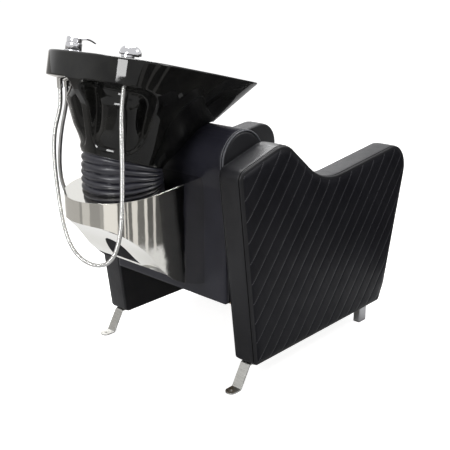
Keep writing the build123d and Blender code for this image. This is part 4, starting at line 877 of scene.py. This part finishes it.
def make_basin():
    """Basin: one closed surface round the drain, each row of it a ring about the ring's axis.

    Rows run from the drain up the bowl, over the lip, down the hull, round the ring and up the hollow."""
    columns = 480
    bearing = np.linspace(-pi, pi, columns, endpoint=False)[None, :]
    rim, mouth = egg_radius(RIM_SIZE, bearing), egg_radius(MOUTH_SIZE, bearing)
    drop = RING_DEPTH - RING_RADIUS * np.sin(RING_TILT) * np.cos(bearing)
    rows = [(r + 0 * rim[0], d + 0 * rim[0]) for r, d in FLOOR_SECTION]
    rows += bowl_rows(bearing, rim, mouth, drop)
    inner_count = len(rows)
    rows += lip_rows(bearing, rim, mouth, drop)
    within, deep = np.array(rows).swapaxes(0, 1)
    inset = np.clip((rim - within) / 0.020, 0, 1) * np.clip(1 - deep / 0.05, 0, 1)
    x = within * np.sin(bearing)
    v = RING_V + within * np.cos(bearing)
    dip = NECK_DIP * np.cos(np.clip(x / 0.075, -1, 1) * pi / 2) ** 2 * step(-0.20, -0.25, v)
    upper = np.stack([x, v, -deep - dip * inset], -1)
    # Hull: a share of the way from the rim to the ring, whose plane leans more than the rim's
    share = np.linspace(0.026, 0.992, 122)[:, None]
    radius = hull_radius(bearing, rim, share)
    hull = np.stack([radius * np.sin(bearing), RING_V + radius * np.cos(bearing), -share * drop], -1)
    out, rise = HOLLOW_SECTION[:, :1], HOLLOW_SECTION[:, 1:]
    under = np.stack([
        out * np.sin(bearing), RING_V + out * np.cos(bearing) * cos(RING_TILT) - rise * sin(RING_TILT),
        -RING_DEPTH + out * np.cos(bearing) * sin(RING_TILT) + rise * cos(RING_TILT),
    ], -1)
    local = np.concatenate([upper, hull, under])
    # Points inside the roll's circle move straight out of it, those of the bowl by a wall more
    clear = np.full(len(local), ROLL_CLEAR)
    clear[:inner_count] += WALL
    away = local[..., 1:] - (ROLL_V, ROLL_LIFT)
    gap = np.linalg.norm(away, axis=-1)
    local[..., 1:] = (ROLL_V, ROLL_LIFT) + away * np.maximum(clear[:, None] / gap, 1)[..., None]
    points = on_rim(local[..., :1], local[..., 1:2], local[..., 2:])
    faces = quads(len(points), columns, wrap_rows=True, wrap_columns=True)
    basin = make_piece("basin_glaze", points, faces, "bowl", [GLAZE])
    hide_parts("basin")


make_basin()


# Tap and spray
def turned(name, x, v, section, body, finish, node):
    """Surface of revolution about the rim's normal: ring of radius r at lift h for each (r, h)."""
    section = np.array(section)
    sides = 56
    turn = np.linspace(0, 2 * pi, sides, endpoint=False)
    ring = np.cos(turn)[:, None] * RIM_ACROSS + np.sin(turn)[:, None] * RIM_UP
    points = on_rim(x, v, 0) + section[:, 0, None, None] * ring[None] + section[:, 1, None, None] * RIM_NORMAL
    piece = make_piece(name, points, quads(len(section), sides, wrap_columns=True), body, [finish])
    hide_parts(node)
    return piece


def arc_section(centre, radius, start, end, count):
    """Section points on an arc, from one angle to another in degrees."""
    angle = np.radians(np.linspace(start, end, count))
    return [(centre[0] + radius * cos(a), centre[1] + radius * sin(a)) for a in angle]


# Places on the rim's plane: across, and up the rim
TAP_X, TAP_V = 0.087, 0.236
SPRAY_X, SPRAY_V = -0.138, 0.232


def make_tap():
    """Tap: stepped base, round body, flat-topped cap and a curved blade that thins towards its tip."""
    turned(
        "tap_base", TAP_X, TAP_V, [
            (0, 0.0), (0.0255, 0.0), (0.0260, 0.0005), *arc_section((0.0245, 0.0025), 0.0015, 0, 90, 6),
            (0, 0.004),
        ], "bowl", CHROME, "mixer_base",
    )
    turned(
        "tap_body", TAP_X, TAP_V, [
            (0, 0.004), (0.0227, 0.004), (0.0230, 0.0044), *arc_section((0.0220, 0.0230), 0.0010, 0, 90, 6),
            (0.0217, 0.0238), (0.0216, 0.0120), (0, 0.0120),
        ], "bowl", CHROME, "mixer_body",
    )
    turned(
        "tap_cap", TAP_X, TAP_V, [
            (0.0170, 0.0246), (0.0211, 0.0246), (0.0216, 0.034),
            *arc_section((0.0176, 0.0366), 0.0040, 0, 84, 10), (0, 0.0416),
        ], "mixer_handle", CHROME, "mixer_lever",
    )
    # The blade leaves the cap, rises in a low arch and dips at its tip
    share = np.linspace(0, 1, 40)
    v = TAP_V - 0.010 - 0.066 * share
    lift = 0.0335 + 0.0110 * np.sin(pi * (0.12 + 0.80 * share)) - 0.0035
    line = np.array([on_rim(TAP_X, a, b) for a, b in zip(v, lift)])
    tangent = unit(np.gradient(line, axis=0))
    across = np.broadcast_to(RIM_ACROSS, tangent.shape)
    above = np.cross(across, tangent)
    tip = np.sqrt(np.clip((1 - share) / 0.05, 0, 1))
    wide, thick = 0.0085 * (1 - 0.50 * share**1.5) * tip, (0.0048 - 0.0034 * share) * tip
    wide[0] = thick[0] = 0
    sides = 24
    turn = np.linspace(0, 2 * pi, sides, endpoint=False)[None, :, None]
    points = line[:, None] + wide[:, None, None] * np.cos(turn) * across[:, None]
    points = points + thick[:, None, None] * np.sin(turn) * above[:, None]
    faces = quads(len(share), sides, wrap_columns=True)
    blade = make_piece("tap_blade", points, faces, "mixer_handle", [CHROME])
    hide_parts("mixer_lever")


make_tap()


def make_spray():
    """Spray: a domed head leaning over its holder, on a stem with a collar."""
    turned(
        "spray_holder", SPRAY_X, SPRAY_V, [
            (0.0126, -0.0300), (0.0168, -0.0300), (0.0168, 0.0), (0.0178, 0.0004), (0.0180, 0.0012),
            *arc_section((0.0168, 0.0068), 0.0012, 0, 90, 6), (0.0130, 0.0080), (0.0126, 0.0075),
            (0.0126, -0.0300),
        ], "bowl", CHROME, "handset_holder",
    )
    turned(
        "spray_stem", SPRAY_X, SPRAY_V, [
            (0, -0.034), (0.0118, -0.034), (0.0124, -0.0334), (0.0124, 0.0081), (0.0156, 0.0081),
            (0.0160, 0.0086), (0.0160, 0.0116), (0, 0.0116),
        ], "handset", CHROME, "handset_body",
    )
    crown = [(0.0296 * cos(a) ** 0.62, 0.0104 + 0.0226 * sin(a)) for a in np.radians(np.linspace(5, 89, 24))]
    turned(
        "spray_head", SPRAY_X, SPRAY_V - 0.008, [
            (0, 0.0088), (0.0272, 0.0088), *arc_section((0.0280, 0.0104), 0.0016, -90, 0, 5), *crown,
            (0, 0.0330),
        ], "handset", CHROME, "handset_body",
    )


make_spray()


# Solids that keep their shape get rounded edges and their finish
MERGE_DISTANCE, FLAT_ANGLE, SHARP_ANGLE = 0.00001, radians(0.5), radians(34)


def dress(finish, edge, *nodes):
    """Give CAD nodes a finish: join their triangles, merge flat areas and round the sharp edges.

    The edge's width is in metres."""
    for node in nodes:
        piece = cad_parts[node]
        mesh = piece.data
        if "custom_normal" in mesh.attributes:
            mesh.attributes.remove(mesh.attributes["custom_normal"])
        mesh.materials.clear()
        mesh.materials.append(finish.material)
        mesh.polygons.foreach_set("material_index", np.zeros(len(mesh.polygons), np.int32))
        mesh.shade_smooth()
        weld = piece.modifiers.new("join", "WELD")
        weld.merge_threshold = MERGE_DISTANCE
        flat = piece.modifiers.new("flat", "DECIMATE")
        flat.decimate_type = "DISSOLVE"
        flat.angle_limit = FLAT_ANGLE
        round_edge = piece.modifiers.new("edge", "BEVEL")
        round_edge.limit_method = "ANGLE"
        round_edge.angle_limit = SHARP_ANGLE
        round_edge.width = edge
        round_edge.segments = 2
        round_edge.harden_normals = True


dress(FRAME_WOOD, 0.001, "right_arm_core", "left_arm_core", "seat_board", "back_board")
dress(FOOT_STEEL, 0.0006, "right_rear_foot", "left_rear_foot")
dress(CHROME, 0.0005, "right_front_leg", "left_front_leg", "strainer", "hose_nut")
dress(HOSE_CHROME, 0.0006, "hose_glands")
dress(
    ZINC_STEEL, 0.0004, "foot_screws", "cover_screws", "bracket_bolts", "pivot_pins", "pivot_nuts",
    "pivot_washers", "support_arm", "mixer_shank", "mixer_nut", "supply_block",
)
dress(BLACK_PLASTIC, 0.0004, "leg_glides", "drain_union", "mixer_cartridge", "handset_face")
dress(BLACK_PLASTIC, 0.0003, "bellows_lower_ring", "bellows_upper_ring")
dress(BLACK_STEEL, 0.0008, "cross_rails", "bracket_plate", "yoke", "tilt_plate")
dress(GREY_PLASTIC, 0.0005, "waste_nut", "tail_pipe", "drain_hose")
dress(RED_PLASTIC, 0.0002, "mixer_marker")
dress(POLISHED_STEEL, 0.0005, "rear_cover", "cover_shelf")


# Studio: strength of the floor's glow, its share in reflections, and the world's level as a light
FLOOR_GLOW, FLOOR_MIRRORED, WORLD_LIGHT = 0.88, 0.04, 0.36


def plain_object(name, points, faces, finish):
    """Object of a few faces that stands in the studio."""
    mesh = bpy.data.meshes.new(name)
    mesh.from_pydata(points, [], faces)
    mesh.materials.append(finish.material)
    thing = bpy.data.objects.new(name, mesh)
    bpy.context.scene.collection.objects.link(thing)
    return thing


def make_floor():
    """Pale floor that shows as white, keeps the chair's shadow and is dim in reflections."""
    finish = Finish("floor", (0.50, 0.50, 0.50), 0.9, specular=0.0)
    finish.shader.inputs["Emission Color"].default_value = (1, 1, 1, 1)
    paths = finish.nodes.new("ShaderNodeLightPath")
    mirrored = finish.sum("MULTIPLY", paths.outputs["Is Glossy Ray"], FLOOR_MIRRORED)
    seen = finish.sum("MAXIMUM", paths.outputs["Is Camera Ray"], mirrored)
    finish.put(finish.shader.inputs["Emission Strength"], finish.sum("MULTIPLY", seen, FLOOR_GLOW))
    corners = [(-40, -40, 0), (40, -40, 0), (40, 40, 0), (-40, 40, 0)]
    floor = plain_object("floor", corners, [(0, 1, 2, 3)], finish)


make_floor()


def make_world():
    """World that is white to the camera and in reflections, and a softer light elsewhere."""
    world = bpy.data.worlds.new("studio")
    bpy.context.scene.world = world
    world.use_nodes = True
    nodes, links = world.node_tree.nodes, world.node_tree.links
    background = nodes["Background"]
    background.inputs["Color"].default_value = (1, 1, 1, 1)
    paths = nodes.new("ShaderNodeLightPath")
    seen = nodes.new("ShaderNodeMath")
    seen.operation = "MAXIMUM"
    links.new(paths.outputs["Is Camera Ray"], seen.inputs[0])
    links.new(paths.outputs["Is Glossy Ray"], seen.inputs[1])
    level = nodes.new("ShaderNodeMapRange")
    links.new(seen.outputs["Value"], level.inputs["Value"])
    level.inputs["To Min"].default_value = WORLD_LIGHT
    level.inputs["To Max"].default_value = 1.0
    links.new(level.outputs["Result"], background.inputs["Strength"])


make_world()


def make_lamp(name, place, target, width, height, power):
    """Rectangular soft box that faces its target."""
    lamp = bpy.data.lights.new(name, "AREA")
    lamp.shape = "RECTANGLE"
    lamp.size, lamp.size_y = width, height
    lamp.energy = power
    box = bpy.data.objects.new(name, lamp)
    bpy.context.scene.collection.objects.link(box)
    away = unit(np.array(place, float) - np.array(target, float))
    box.location = place
    box.rotation_euler = (np.arccos(away[2]), 0, atan2(away[0], -away[1]))


make_lamp("overhead", (0.7, -0.3, 3.3), (-0.1, -0.1, 0.6), 1.6, 1.2, 95)
make_lamp("front_box", (1.65, -1.62, 2.72), (-0.2, -0.2, 0.7), 1.4, 0.9, 66)
make_lamp("side_box", (-1.9, -1.9, 2.6), (-0.3, -0.2, 0.6), 1.2, 0.8, 42)
make_lamp("rear_box", (-0.46, 2.25, 1.70), (-0.158, 0.266, 0.97), 0.80, 0.50, 34)


# Shades on a circle round the cover: the angle from +X where each begins, and how light it is
SHADES = [
    (-60, 1.0), (-12, 0.50), (49, 0.34), (56, 0.66), (76, 0.34), (99, 0.42), (107, 0.97), (136, 0.12),
    (149, 0.9), (152, 0.12), (156, 0.8), (159, 0.15), (166, 0.85), (177, 0.16), (192, 0.85), (198, 0.10),
    (211, 0.7), (217, 0.06), (262, 1.0),
]
SHADE_MIDDLE, SHADE_RADIUS, SHADE_HEIGHT, SHADE_POINTS = (-0.02, 0.25), 1.5, 1.0, 12


def make_shades():
    """Cards that are seen only in shiny surfaces: a real room's darks and lights."""
    for index, ((start, level), (end, _)) in enumerate(zip(SHADES, SHADES[1:])):
        turn = np.radians(np.linspace(start, end, SHADE_POINTS))
        x, y = SHADE_MIDDLE[0] + SHADE_RADIUS * np.cos(turn), SHADE_MIDDLE[1] + SHADE_RADIUS * np.sin(turn)
        points = np.concatenate([np.stack([x, y, np.full(SHADE_POINTS, z)], 1) for z in (0.0, SHADE_HEIGHT)])
        finish = Finish(f"shade_{index}", (0, 0, 0), 0.5)
        finish.shader.inputs["Emission Color"].default_value = (level, level * 0.97, level * 0.93, 1)
        finish.shader.inputs["Emission Strength"].default_value = 1
        card = plain_object(f"shade_{index}", points.tolist(), quads(2, SHADE_POINTS).tolist(), finish)
        for way in ("camera", "diffuse", "transmission", "shadow", "volume_scatter"):
            setattr(card, f"visible_{way}", False)


make_shades()

bpy.context.scene.view_settings.view_transform = "Standard"
